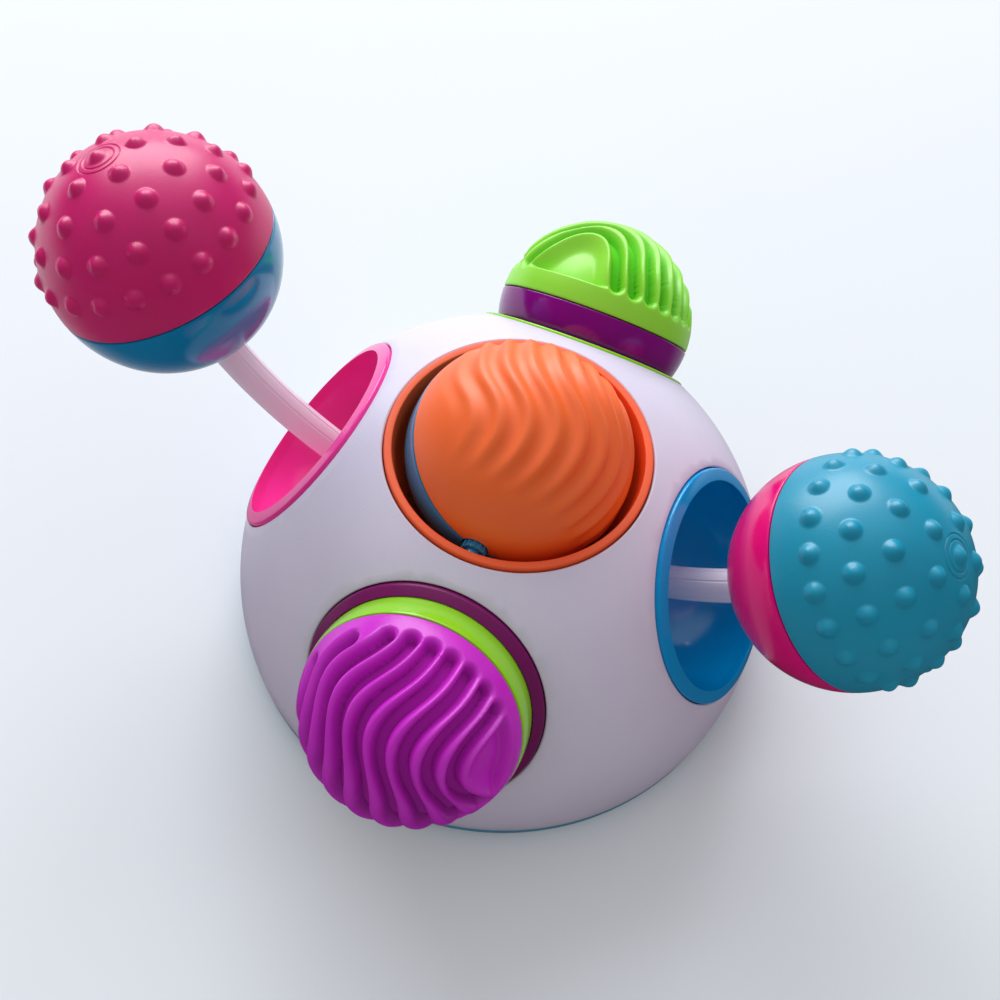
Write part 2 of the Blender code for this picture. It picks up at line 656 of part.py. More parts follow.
def waves():
    # Shallow dunes that run across the ball and fade out on one side
    limit = HALF_SEAM - PLAIN_BAND / BALL_RADIUS
    lines = [([p], [0.0]) for p in ring_points(limit + BAND_STEP / BALL_RADIUS, BALL_SEGMENTS)]
    for half_step in range(2 * WAVE_COUNT):
        start = limit * BALL_RADIUS - (half_step + 1) * WAVE_PITCH / 2
        height = WAVE_HEIGHT if half_step % 2 else -WAVE_DEPTH
        strength = min(1.0, (2 * WAVE_COUNT - half_step) / WAVE_SIDE_FADE)
        reach = limit * BALL_RADIUS
        line = [wave_point(start, reach * (2 * k / WAVE_STEPS - 1)) for k in range(WAVE_STEPS + 1)]
        line = trimmed(line, limit)
        fades = [min(1.0, max(0.0, (p.y * BALL_RADIUS - WAVE_LOW_END) / WAVE_LOW_FADE)) for p in line]
        if line:
            lines.append((line, [height * strength * fade for fade in fades]))
    return lines


def arm_ball_matrix(swing, side, spin):
    # The ball's middle is on the arc, and its axis runs through the point where the rod enters
    lean = swing - BALL_LEAD
    axis = Vector((side * math.cos(lean), 0, math.sin(lean)))
    return facing(axis, arc_point(swing, side), spin)


def build_arm():
    axis = joint_empty("arm_axis", (0, 0, ARM_AXIS_HEIGHT))
    rod = arc_tube("arm_rod", ROD_RADIUS, PINK_ROD_END, BLUE_ROD_END)
    place(rod, rod.matrix_basis.copy(), axis)
    finish(rod, LILAC, SATIN)
    ends = (("pink", PINK_SWING, -1, PINK_BUMP_TURN, PINK, BLUE),
            ("blue", BLUE_SWING, 1, BLUE_BUMP_TURN, BLUE, PINK))
    socket = ROD_RADIUS + ROD_CLEARANCE + SOCKET_WALL
    over = PIECE_GAP / ARM_RADIUS
    for name, swing, side, spin, colour, other in ends:
        matrix = arm_ball_matrix(swing, side, spin)
        back = build_back(f"{name}_back", other, matrix, axis, ARM_CAP_SEAM, SOFT_WALL, socket)
        way = arc_tube(f"rod_way_{name}_back", ROD_RADIUS + PIECE_GAP,
                       PINK_ROD_END + over, BLUE_ROD_END + over)
        cut(back, way)
        build_cap(f"{name}_cap", colour, matrix, axis, ARM_CAP_SEAM, SOFT_WALL, bumps())


def build_knobs():
    knobs = (("purple", PURPLE_STANDOFF, PURPLE_TURN, PURPLE_SEAM, PURPLE_BAND, PURPLE, GREEN),
             ("green", GREEN_STANDOFF, GREEN_TURN, HALF_SEAM, GREEN_BAND, GREEN, PURPLE))
    soft_wall = GROOVE_DEPTH + SOFT_WALL / 2
    socket = SPINDLE_RADIUS + PIECE_GAP + SOCKET_WALL
    for name, standoff, turn, seam, band, colour, other in knobs:
        along = hole_axis(AZIMUTHS[name])
        centre = Vector((0, 0, CENTRE_HEIGHT)) + along * (SIDE_PLANE + standoff)
        axis = joint_empty(f"{name}_axis", centre)
        matrix = facing(along, centre, turn)
        back = build_back(f"{name}_back", other, matrix, axis, seam, soft_wall, socket)
        build_cap(f"{name}_cap", colour, matrix, axis, seam, soft_wall, ridges(seam, band))
        build_spindle(name, axis, matrix, back, SIDE_PLANE + standoff)


def build_spindle(name, axis, matrix, back, centre):
    # Heights here run along the hole's axis, from the ball's middle
    bowl_floor = SIDE_PLANE - LIP_DEPTH - centre
    bush = bush_radius()
    flange = bush + BUSH_FLANGE_WIDTH
    seat = bowl_floor - math.sqrt(MOUTH_RADIUS ** 2 - flange ** 2) + PIECE_GAP
    flange_top = seat + BUSH_FLANGE_THICKNESS
    tail = bowl_floor - MOUTH_RADIUS - CUP_WALL - BUSH_TAIL
    bore = SPINDLE_RADIUS + RUNNING_GAP
    outline = [(bore, flange_top), (flange, flange_top), (flange, seat), (bush, seat), (bush, tail),
               (bore, tail)]
    sleeve = place(turned(f"{name}_bush", outline, SMALL_SEGMENTS), matrix)
    finish(sleeve, WHITE, SATIN)

    shoulder = SPINDLE_RADIUS + SHOULDER_WIDTH
    top = -BALL_RADIUS + ROD_INSERT
    shoulder_top = -BALL_RADIUS - PIECE_GAP
    clip_top = tail - RUNNING_GAP
    end = clip_top - CLIP_THICKNESS - SPINDLE_TAIL
    outline = [(0, top), (SPINDLE_RADIUS, top), (SPINDLE_RADIUS, shoulder_top), (shoulder, shoulder_top),
               (shoulder, flange_top + RUNNING_GAP), (SPINDLE_RADIUS, flange_top + RUNNING_GAP),
               (SPINDLE_RADIUS, end), (0, end)]
    spindle = place(turned(f"{name}_spindle", outline, SMALL_SEGMENTS), matrix, axis)
    finish(spindle, LILAC, SATIN)
    cut(back, place(rod_of(f"{name}_socket_way", SPINDLE_RADIUS + PIECE_GAP,
                           -BALL_RADIUS - CUT_MARGIN, top + PIECE_GAP), matrix))

    hold = SPINDLE_RADIUS + PIECE_GAP
    outline = [(hold, clip_top), (hold + CLIP_WIDTH, clip_top),
               (hold + CLIP_WIDTH, clip_top - CLIP_THICKNESS), (hold, clip_top - CLIP_THICKNESS)]
    clip = place(turned(f"{name}_clip", outline, SMALL_SEGMENTS), matrix, axis)
    finish(clip, STEEL, SATIN, 1.0)


def build_roller():
    centre = Vector((0, 0, ROLLER_HEIGHT))
    axis = joint_empty("roller_axis", centre)
    matrix = Matrix.Translation(centre) @ Matrix.Rotation(ROLLER_TURN, 4, "Y")
    soft_wall = SOFT_WALL + WAVE_DEPTH
    across = facing((0, 1, 0), centre)
    cap = build_cap("orange_cap", ORANGE, matrix, axis, HALF_SEAM, soft_wall, waves())
    back = build_back("orange_back", TEAL, matrix, axis, HALF_SEAM, soft_wall, AXLE_RADIUS)
    reach = BALL_RADIUS + CUT_MARGIN
    hub_seat = BALL_RADIUS - HUB_SINK - PIECE_GAP
    hub_way = HUB_RADIUS + PIECE_GAP
    outline = [(0, reach), (hub_way, reach), (hub_way, hub_seat), (AXLE_RADIUS + PIECE_GAP, hub_seat)]
    outline += [(radius, -height) for radius, height in reversed(outline)]
    for target in (cap, back):
        cut(target, place(turned(f"axle_way_{target.name}", outline, SMALL_SEGMENTS), across))
    build_axle(axis, across)


def build_axle(axis, across):
    hub_in = BALL_RADIUS - HUB_SINK
    bowl_facet = ROLLER_BOWL_RADIUS * math.cos(math.pi / 4 / CUP_RINGS)
    hub_out = math.sqrt(bowl_facet ** 2 - HUB_RADIUS ** 2) - RUNNING_GAP
    end = ROLLER_BOWL_RADIUS + CUP_WALL - PIECE_GAP
    outline = [(0, end), (JOURNAL_RADIUS, end), (JOURNAL_RADIUS, hub_out), (HUB_RADIUS, hub_out),
               (HUB_RADIUS, hub_in), (AXLE_RADIUS, hub_in)]
    outline += [(radius, -height) for radius, height in reversed(outline)]
    axle = place(turned("orange_axle", outline, HUB_RIB_COUNT * 2), across, axis)
    for vert in axle.data.vertices:
        around = math.atan2(vert.co.y, vert.co.x) * HUB_RIB_COUNT
        across_axis = math.hypot(vert.co.x, vert.co.y)
        if across_axis > HUB_RADIUS - HUB_RIB_HEIGHT and math.cos(around) < 0:
            vert.co.x *= 1 - HUB_RIB_HEIGHT / HUB_RADIUS
            vert.co.y *= 1 - HUB_RIB_HEIGHT / HUB_RADIUS
    finish(axle, TEAL, SATIN)


def main():
    for obj in list(bpy.data.objects):
        bpy.data.objects.remove(obj, do_unlink=True)
    build_dome()
    build_base()
    build_cups()
    build_guide()
    build_arm()
    build_knobs()
    build_roller()


main()
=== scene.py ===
import json
import math

import bmesh
import bpy
import numpy as np
from mathutils import Matrix, Vector
from mathutils.geometry import delaunay_2d_cdt


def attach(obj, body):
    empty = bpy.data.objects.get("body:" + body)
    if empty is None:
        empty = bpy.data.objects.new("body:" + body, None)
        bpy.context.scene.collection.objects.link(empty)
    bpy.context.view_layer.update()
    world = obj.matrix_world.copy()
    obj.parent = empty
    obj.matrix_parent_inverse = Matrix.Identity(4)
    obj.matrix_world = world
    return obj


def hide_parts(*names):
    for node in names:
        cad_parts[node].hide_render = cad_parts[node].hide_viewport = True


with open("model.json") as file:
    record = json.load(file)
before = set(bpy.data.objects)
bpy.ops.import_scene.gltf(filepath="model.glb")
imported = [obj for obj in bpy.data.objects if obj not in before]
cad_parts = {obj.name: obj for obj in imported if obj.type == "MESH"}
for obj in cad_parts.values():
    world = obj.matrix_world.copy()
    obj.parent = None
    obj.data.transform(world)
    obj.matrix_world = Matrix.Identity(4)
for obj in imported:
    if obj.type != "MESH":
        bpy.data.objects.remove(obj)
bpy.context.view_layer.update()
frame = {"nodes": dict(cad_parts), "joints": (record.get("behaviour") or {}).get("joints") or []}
joints = {joint["name"]: joint for joint in frame["joints"]}

# Sizes that several pieces share, in metres and degrees, the same as the solids'
toy = {
    "domeRadius": 0.076036, "domeWall": 0.0024, "domeDrop": 0.0050, "centreHeight": 0.0087,
    "sideTilt": 33.8, "sidePlane": 0.070019, "topPlane": 0.068807, "rollerSink": 0.0036,
    "ballRadius": 0.0283, "armRadius": 0.0965, "rodRadius": 0.0045,
    "pinkSwing": 76.6, "blueSwing": 60.65, "rodInsert": 0.0110,
    "pieceGap": 0.0003, "flangeGap": 0.0008, "rodWayStep": 2.0,
}
mergeDistance = 2e-6
domeCentre = Vector((0, 0, toy["centreHeight"]))
ballRadius = toy["ballRadius"]
armCentre = Vector(joints["arm_swing"]["pos_m"])
rollerCentre = Vector(joints["orange_roll"]["pos_m"])
sideAzimuths = {"blue": 0, "green": 90, "pink": 180, "purple": 270}
holds = {"blue": "arm", "green": "knob", "pink": "arm", "purple": "knob"}  # what each side cup carries


# Small helpers

def linear(colour):
    shares = [c / 255 for c in colour]
    return [s / 12.92 if s <= 0.04045 else ((s + 0.055) / 1.055) ** 2.4 for s in shares] + [1.0]


def facing(direction, position, spin=0.0):
    turn = Vector(direction).to_track_quat("Z", "Y").to_matrix().to_4x4()
    return Matrix.Translation(position) @ turn @ Matrix.Rotation(math.radians(spin), 4, "Z")


def sideAxis(colour):
    tilt, around = math.radians(toy["sideTilt"]), math.radians(sideAzimuths[colour])
    return Vector((math.cos(tilt) * math.cos(around), math.cos(tilt) * math.sin(around), math.sin(tilt)))


def linkPiece(name, mesh):
    piece = bpy.data.objects.new(name, mesh)
    bpy.context.scene.collection.objects.link(piece)
    return piece


def newPiece(name, bm, matrix=None):
    bmesh.ops.remove_doubles(bm, verts=bm.verts, dist=mergeDistance)
    bmesh.ops.recalc_face_normals(bm, faces=bm.faces)
    mesh = bpy.data.meshes.new(name)
    bm.to_mesh(mesh)
    bm.free()
    if matrix:
        mesh.transform(matrix)
    return linkPiece(name, mesh)


def newMarks(name, points, edges=()):
    mesh = bpy.data.meshes.new(name)
    mesh.from_pydata(points, list(edges), [])
    return linkPiece(name, mesh)


def settle(piece, body, nodes, finish, sharpAngle=42):
    # the last step of every piece: its shading and finish, its body, and the solids that it stands for
    piece.data.shade_smooth()
    piece.data.set_sharp_from_angle(angle=math.radians(sharpAngle))
    piece.data.materials.clear()
    piece.data.materials.append(paints[finish])
    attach(piece, body)
    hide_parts(*nodes)


def arcPoints(radius, start, stop, steps, centre=0.0):
    angles = np.linspace(start, stop, steps + 1)
    return [(max(0.0, radius * math.sin(a)), centre + radius * math.cos(a), 0) for a in angles]


def softened(corners, steps=4):
    outline = []  # each corner is (radius, height, rounding)
    for i, (radius, height, rounding) in enumerate(corners):
        here = Vector((radius, height))
        if not rounding:
            outline.append((radius, height))
            continue
        before = Vector(corners[i - 1][:2]) - here
        after = Vector(corners[(i + 1) % len(corners)][:2]) - here
        start, stop = here + before.normalized() * rounding, here + after.normalized() * rounding
        for t in np.linspace(0, 1, steps + 1):
            point = start * (1 - t) ** 2 + here * (2 * t * (1 - t)) + stop * t ** 2
            outline.append((point.x, point.y))
    return outline


def turned(outline, segments):
    bm = bmesh.new()
    points = [bm.verts.new((radius, 0, height)) for radius, height in outline]
    edges = [bm.edges.new((points[i - 1], points[i])) for i in range(len(points))
             if outline[i - 1][0] + outline[i][0] > 1e-7]  # an edge on the axis is left out
    bmesh.ops.spin(bm, geom=points + edges, cent=(0, 0, 0), axis=(0, 0, 1), angle=math.tau,
                   steps=segments, use_merge=True)
    return bm


def flattened(piece):
    graph = bpy.context.evaluated_depsgraph_get()
    mesh = bpy.data.meshes.new_from_object(piece.evaluated_get(graph), preserve_all_data_layers=True,
                                           depsgraph=graph)
    piece.modifiers.clear()
    piece.data = mesh
    return piece


def cutOut(piece, cutter):
    modifier = piece.modifiers.new("cutOut", "BOOLEAN")
    modifier.operation, modifier.solver, modifier.object = "DIFFERENCE", "EXACT", cutter
    flattened(piece)
    bpy.data.objects.remove(cutter)


def throughNodes(piece, tree, values):
    modifier = piece.modifiers.new(tree.name, "NODES")
    modifier.node_group = tree
    for item in tree.interface.items_tree:
        if item.item_type == "SOCKET" and item.in_out == "INPUT" and item.name in values:
            modifier[item.identifier] = values[item.name]
    return flattened(piece)


def arcTube(radiusAt, pinkEnd, blueEnd, sides, step):
    bm = bmesh.new()  # a bar along the arm's arc, from the pink end to the blue end, in degrees
    turns = max(2, math.ceil((pinkEnd + blueEnd) / step))
    rings = []
    for k in range(turns + 1):
        swing = math.radians(-pinkEnd + (pinkEnd + blueEnd) * k / turns)
        inward = Vector((-math.sin(swing), 0, math.cos(swing)))
        ring = []
        for i in range(sides):
            around = math.tau * i / sides
            spoke = Vector((0, -math.cos(around), 0)) + inward * math.sin(around)
            ring.append(bm.verts.new(armCentre - inward * toy["armRadius"] + spoke * radiusAt(around)))
        rings.append(ring)
    for low, high in zip(rings, rings[1:]):
        for i in range(sides):
            bm.faces.new((low[i - 1], low[i], high[i], high[i - 1]))
    bm.faces.new(rings[0])
    bm.faces.new(list(reversed(rings[-1])))
    return bm


def cutRodWay(piece, radius, pinkEnd, blueEnd, sides):
    # the curved way that the arm's rod takes
    bar = arcTube(lambda around: radius, pinkEnd, blueEnd, sides, toy["rodWayStep"])
    cutOut(piece, newPiece("rodWay", bar))


def cutAxleWay(piece, name, radius, reach, segments):
    # a round way along the roller's axle
    bar = turned([(0, reach), (radius, reach), (radius, -reach), (0, -reach)], segments)
    cutOut(piece, newPiece(name, bar, facing((0, 1, 0), rollerCentre)))


# Node trees

socketKinds = {float: "Float", int: "Int", tuple: "Color"}


def newGroup(name, kind, inputs, outputs):
    # an input's value tells its kind: a number, a colour, or the name of a kind that has no value
    group = bpy.data.node_groups.new(name, kind)
    for title, value in inputs.items():
        socket = socketKinds.get(type(value), value)
        item = group.interface.new_socket(name=title, in_out="INPUT", socket_type=f"NodeSocket{socket}")
        if socket != value:
            item.default_value = value
    for title, socket in outputs.items():
        group.interface.new_socket(name=title, in_out="OUTPUT", socket_type=f"NodeSocket{socket}")
    return group, group.nodes.new("NodeGroupInput"), group.nodes.new("NodeGroupOutput")


def setInputs(node, values):
    for name, value in values.items():
        node.inputs[name].default_value = value


def addNode(tree, kind, values=None, **settings):
    node = tree.nodes.new(kind)
    for name, value in settings.items():
        setattr(node, name, value)
    setInputs(node, values or {})
    return node


def wire(tree, *links):
    # a link runs from a socket, or a node and its output's name, to a node and its input's name
    for *source, end, into in links:
        start = source[0].outputs[source[1]] if len(source) == 2 else source[0]
        tree.links.new(start, end.inputs[into])


def mathNode(tree, operation, first, second):
    node = tree.nodes.new("ShaderNodeMath")
    node.operation = operation
    for socket, value in zip(node.inputs, (first, second)):
        if isinstance(value, (int, float)):
            socket.default_value = value
        else:
            tree.links.new(value, socket)
    return node.outputs[0]


def endTree(tree, start, end, geometry):
    # every geometry tree ends in real faces with their material set
    realize = addNode(tree, "GeometryNodeRealizeInstances")
    paint = addNode(tree, "GeometryNodeSetMaterial")
    wire(tree, (geometry, realize, "Geometry"), (realize, "Geometry", paint, "Geometry"),
         (start, "Material", paint, "Material"), (paint, "Geometry", end, "Geometry"))


# Finishes: the colour drifts a little, the skin has a moulded grain, pressed-in grooves get painted shade,
# handling changes the gloss

def makeMouldedSkinAndShade():
    group, start, end = newGroup(
        "mouldedSkinAndShade", "ShaderNodeTree",
        {"Colour": (0.8, 0.8, 0.8, 1), "Deep Colour": (0.6, 0.6, 0.6, 1), "Cloud Scale": 30.0,
         "Grain Scale": 2400.0, "Painted Shade": 0.0},
        {"Colour": "Color", "Grain": "Float", "Sunken": "Float"})
    sunken = addNode(group, "ShaderNodeAttribute", attribute_name="sunken")  # set where a relief is pressed in
    # painted shade: where a relief is pressed in, the colour is multiplied by itself, so groove floors come out
    # darker and deeper
    dim = addNode(group, "ShaderNodeMix", data_type="RGBA", blend_type="MULTIPLY")
    where = addNode(group, "ShaderNodeTexCoord").outputs["Object"]
    cloud = addNode(group, "ShaderNodeTexNoise", {"Detail": 4.0, "Roughness": 0.55})
    grain = addNode(group, "ShaderNodeTexNoise", {"Detail": 2.0, "Roughness": 0.6})
    ramp = addNode(group, "ShaderNodeMapRange", {"From Min": 0.35, "From Max": 0.75})
    mix = addNode(group, "ShaderNodeMix", data_type="RGBA")
    wire(group, (where, cloud, "Vector"), (where, grain, "Vector"), (start, "Cloud Scale", cloud, "Scale"),
         (start, "Grain Scale", grain, "Scale"), (cloud, "Fac", ramp, "Value"),
         (ramp, "Result", mix, "Factor"), (start, "Colour", mix, "A"), (start, "Deep Colour", mix, "B"),
         (mathNode(group, "MULTIPLY", sunken.outputs["Fac"], start.outputs["Painted Shade"]), dim, "Factor"),
         (mix, "Result", dim, "A"), (mix, "Result", dim, "B"), (dim, "Result", end, "Colour"),
         (grain, "Fac", end, "Grain"), (sunken, "Fac", end, "Sunken"))
    return group


def makeHandledGloss():
    group, start, end = newGroup(
        "handledGloss", "ShaderNodeTree",
        {"Clean": 0.2, "Smudged": 0.35, "Smudge Scale": 45.0, "Scratch Scale": 260.0},
        {"Roughness": "Float", "Scratches": "Float"})
    where = addNode(group, "ShaderNodeTexCoord").outputs["Object"]
    smudge = addNode(group, "ShaderNodeTexNoise", {"Detail": 5.0, "Roughness": 0.6, "Distortion": 0.6})
    ramp = addNode(group, "ShaderNodeMapRange", {"From Min": 0.42, "From Max": 0.68})
    mix = addNode(group, "ShaderNodeMix", data_type="FLOAT")
    stretch = addNode(group, "ShaderNodeMapping", {"Scale": (1.0, 0.06, 0.5), "Rotation": (0.4, 0.7, 0.3)})
    scratch = addNode(group, "ShaderNodeTexNoise", {"Detail": 3.0, "Roughness": 0.7})
    wire(group, (where, smudge, "Vector"), (start, "Smudge Scale", smudge, "Scale"),
         (smudge, "Fac", ramp, "Value"), (ramp, "Result", mix, "Factor"), (start, "Clean", mix, "A"),
         (start, "Smudged", mix, "B"), (mix, "Result", end, "Roughness"), (where, stretch, "Vector"),
         (stretch, "Vector", scratch, "Vector"), (start, "Scratch Scale", scratch, "Scale"),
         (scratch, "Fac", end, "Scratches"))
    return group


mouldedSkinAndShade = makeMouldedSkinAndShade()
handledGloss = makeHandledGloss()

# How each kind of surface takes the light; a kind names only what differs from the plain finish
# the shade value sets how far pressed-in grooves are darkened; that darkening is painted shade
plainFinish = {"coat": 0.0, "coatRoughness": 0.3, "shade": 0.0, "metal": 0.0, "grainDepth": 0.001}
finishes = {
    "softRubber": {"clean": 0.33, "smudged": 0.4, "grainScale": 2600.0, "grain": 0.05, "specular": 0.7,
                   "cloudScale": 26.0, "scratch": 0.02, "shade": 0.9},
    "glossPlastic": {"clean": 0.13, "smudged": 0.24, "grainScale": 1500.0, "grain": 0.012, "specular": 0.5,
                     "cloudScale": 30.0, "scratch": 0.015, "coat": 0.25, "coatRoughness": 0.1},
    "satinPlastic": {"clean": 0.36, "smudged": 0.5, "grainScale": 2200.0, "grain": 0.06, "specular": 0.45,
                     "cloudScale": 22.0, "scratch": 0.02},
    "screwSteel": {"clean": 0.26, "smudged": 0.42, "grainScale": 1800.0, "grain": 0.05, "specular": 0.5,
                   "cloudScale": 90.0, "scratch": 0.12, "metal": 1.0},
}
finishes["mattRubber"] = {**finishes["softRubber"], "clean": 0.42, "smudged": 0.52}

paintColours = {  # kind of surface, its colour and the deeper colour that it drifts to
    "whiteShell": ("satinPlastic", (220, 213, 233), (212, 205, 226)),
    "tealBase": ("satinPlastic", (88, 168, 196), (76, 154, 184)),
    "pinkGloss": ("glossPlastic", (252, 66, 166), (244, 52, 154)),
    "blueGloss": ("glossPlastic", (0, 154, 218), (0, 142, 206)),
    "purpleLip": ("satinPlastic", (126, 4, 98), (112, 0, 86)),
    "greenGloss": ("glossPlastic", (150, 220, 40), (138, 208, 30)),
    "orangeLip": ("satinPlastic", (248, 96, 40), (238, 84, 30)),
    "lilacRod": ("glossPlastic", (250, 236, 252), (246, 228, 248)),
    "pinkRubber": ("softRubber", (216, 0, 112), (204, 0, 102)),
    "blueRubber": ("softRubber", (0, 154, 188), (0, 142, 176)),
    "purpleRubber": ("softRubber", (218, 36, 214), (204, 26, 200)),
    "greenRubber": ("softRubber", (150, 232, 52), (138, 220, 42)),
    "orangeRubber": ("mattRubber", (255, 110, 36), (255, 100, 28)),
    "pinkBackGloss": ("glossPlastic", (232, 4, 126), (220, 2, 114)),
    "blueBackGloss": ("glossPlastic", (0, 136, 186), (0, 122, 172)),
    "purpleBackGloss": ("glossPlastic", (130, 6, 126), (118, 2, 114)),
    "tealBackGloss": ("glossPlastic", (44, 128, 172), (36, 116, 158)),
    "innerWhite": ("satinPlastic", (226, 226, 232), (216, 216, 224)),
    "screwSteel": ("screwSteel", (176, 178, 182), (158, 160, 166)),
}


def newMaterial(name):
    material = bpy.data.materials.new(name)
    material.use_nodes = True
    return material, material.node_tree, material.node_tree.nodes["Principled BSDF"]


def makeFinish(name, kind, colour, deepColour):
    values = {**plainFinish, **finishes[kind]}
    material, tree, shader = newMaterial(name)
    setInputs(shader, {"Metallic": values["metal"], "Specular IOR Level": values["specular"],
                       "Coat Weight": values["coat"], "Coat Roughness": values["coatRoughness"]})
    skin = addNode(tree, "ShaderNodeGroup", {
        "Colour": linear(colour), "Deep Colour": linear(deepColour), "Cloud Scale": values["cloudScale"],
        "Grain Scale": values["grainScale"], "Painted Shade": values["shade"]}, node_tree=mouldedSkinAndShade)
    gloss = addNode(tree, "ShaderNodeGroup", {"Clean": values["clean"], "Smudged": values["smudged"]},
                    node_tree=handledGloss)
    relief = mathNode(tree, "MULTIPLY", gloss.outputs["Scratches"], values["scratch"] / values["grain"])
    height = mathNode(tree, "ADD", skin.outputs["Grain"], relief)
    bump = addNode(tree, "ShaderNodeBump", {"Strength": values["grain"], "Distance": values["grainDepth"]})
    roughness = mathNode(tree, "MAXIMUM", gloss.outputs["Roughness"], skin.outputs["Sunken"])
    wire(tree, (skin, "Colour", shader, "Base Color"), (roughness, shader, "Roughness"),
         (height, bump, "Height"), (bump, "Normal", shader, "Normal"))
    return material


paints = {name: makeFinish(name, *values) for name, values in paintColours.items()}
print("finishes made:", len(paints))


# Dome: a round shell with five round holes, its edges softened

domeSettings = {"pointSpacing": 1.7, "insideSpacing": 4.0, "lowClear": 0.6, "holeClear": 0.55,
                "holeSegments": 120, "lowSegments": 240, "edgeRounding": 0.0006, "roundingSteps": 4,
                "footBend": 0.3, "armHole": 0.0311, "knobHole": 0.0308, "topHole": 0.0337}


def holeLoop(matrix, radius, height, segments):
    return [matrix @ Vector((radius * math.cos(math.tau * i / segments),
                             radius * math.sin(math.tau * i / segments), height)) for i in range(segments)]


def roundSheet(bm, radius, loops, lowLoop, spacing, holes):
    # fills the ball's surface between the low edge and the hole loops with even triangles
    s = domeSettings
    flat, edges = [], []
    for loop in loops + [lowLoop]:
        first = len(flat)
        for p in loop:
            polar = math.acos(max(-1, min(1, (p.z - domeCentre.z) / (p - domeCentre).length)))
            flat.append(Vector((p.x, p.y)).normalized() * polar)
        edges += [(first + i, first + (i + 1) % len(loop)) for i in range(len(loop))]
    lowest = max(p.length for p in flat)
    step = math.radians(spacing)
    for ring in range(int(lowest / step) + 1):
        polar = ring * step
        if polar > lowest - step * s["lowClear"]:
            continue
        count = max(1, round(math.tau * math.sin(polar) / step))
        for i in range(count):
            around = math.tau * (i + 0.5 * (ring % 2)) / count  # every other ring starts half a step on
            spot = Vector((math.sin(polar) * math.cos(around), math.sin(polar) * math.sin(around),
                           math.cos(polar)))
            if all(spot.angle(axis) > reach + step * s["holeClear"] for axis, reach in holes):
                flat.append(Vector((math.cos(around), math.sin(around))) * polar)
    spots, _, faces, _, _, _ = delaunay_2d_cdt(flat, edges, [], 0, 1e-7)
    points = []
    for p in spots:
        polar = Vector(p).length
        across = max(polar, 1e-9)
        points.append(Vector((math.sin(polar) * p[0] / across, math.sin(polar) * p[1] / across,
                              math.cos(polar))))
    verts = [bm.verts.new(domeCentre + p * radius) for p in points]
    for face in faces:
        middle = sum((points[i] for i in face), Vector()) / len(face)
        if middle.length > 0 and all(middle.angle(axis) > reach for axis, reach in holes):
            bm.faces.new([verts[i] for i in face])


def bridge(bm, loops):
    for loopA, loopB in zip(loops, loops[1:]):
        low = [bm.verts.new(p) for p in loopA]
        high = [bm.verts.new(p) for p in loopB]
        for i in range(len(low)):
            bm.faces.new((low[i - 1], low[i], high[i], high[i - 1]))


def makeDome():
    s = domeSettings
    outer, inner, drop = toy["domeRadius"], toy["domeRadius"] - toy["domeWall"], toy["domeDrop"]
    soft, segments = s["edgeRounding"], s["holeSegments"]
    bm = bmesh.new()
    outerLoops, innerLoops, outerHoles, innerHoles = [], [], [], []
    axes = [(sideAxis(colour), s[f"{holds[colour]}Hole"]) for colour in sideAzimuths]
    for axis, hole in axes + [(Vector((0, 0, 1)), s["topHole"])]:
        matrix = facing(axis, domeCentre)
        top = math.sqrt(outer ** 2 - (hole + soft) ** 2)
        rows = [holeLoop(matrix, hole + soft, top, segments)]
        for t in np.linspace(0, math.pi / 2, s["roundingSteps"] + 1)[1:]:
            across, height = hole + soft * (1 - math.sin(t)), top - soft * (1 - math.cos(t))
            rows.append(holeLoop(matrix, across, height, segments))
        rows.append(holeLoop(matrix, hole, math.sqrt(inner ** 2 - hole ** 2), segments))
        bridge(bm, rows)
        outerLoops.append(rows[0])
        innerLoops.append(rows[-1])
        outerHoles.append((axis, math.asin((hole + soft) / outer)))
        innerHoles.append((axis, math.asin(hole / inner)))
    lowAcross, bend = math.sqrt(outer ** 2 - drop ** 2), soft * s["footBend"]
    foot = [(math.sqrt(outer ** 2 - (soft - drop) ** 2), soft - drop), (lowAcross - bend, bend - drop),
            (lowAcross - soft, -drop), (math.sqrt(inner ** 2 - drop ** 2), -drop)]
    lowRows = [holeLoop(Matrix.Translation(domeCentre), across, height, s["lowSegments"])
               for across, height in foot]
    bridge(bm, lowRows)
    roundSheet(bm, outer, outerLoops, lowRows[0], s["pointSpacing"], outerHoles)
    roundSheet(bm, inner, innerLoops, lowRows[-1], s["insideSpacing"], innerHoles)
    settle(newPiece("domeShell", bm), "dome", ["dome_shell"], "whiteShell", sharpAngle=38)


makeDome()
print("dome made")


# Cups: one turned outline for each, with a softened lip

cupSettings = {"segments": 144, "bowlRings": 40, "sideBowl": 0.0285, "lipDepth": 0.0020, "wall": 0.0016,
               "flangeWidth": 0.0016, "flangeThickness": 0.0014, "lipRounding": 0.0005, "innerRounding": 0.0003,
               "armRim": 0.0309, "armMouth": 0.0275, "pinkRise": 0.0008, "blueRise": 0.0008,
               "knobRim": 0.0306, "knobMouth": 0.02825, "purpleRise": 0.0020, "greenRise": 0.0003,
               "rodWay": 0.0051, "rodWayReach": 50, "rodWaySides": 40, "bushWay": 0.0067,
               "topBowl": 0.0307, "topMouth": 0.0314, "topRim": 0.0334,
               "axleWay": 0.0022, "axleDepth": 0.0018, "axleSegments": 32}


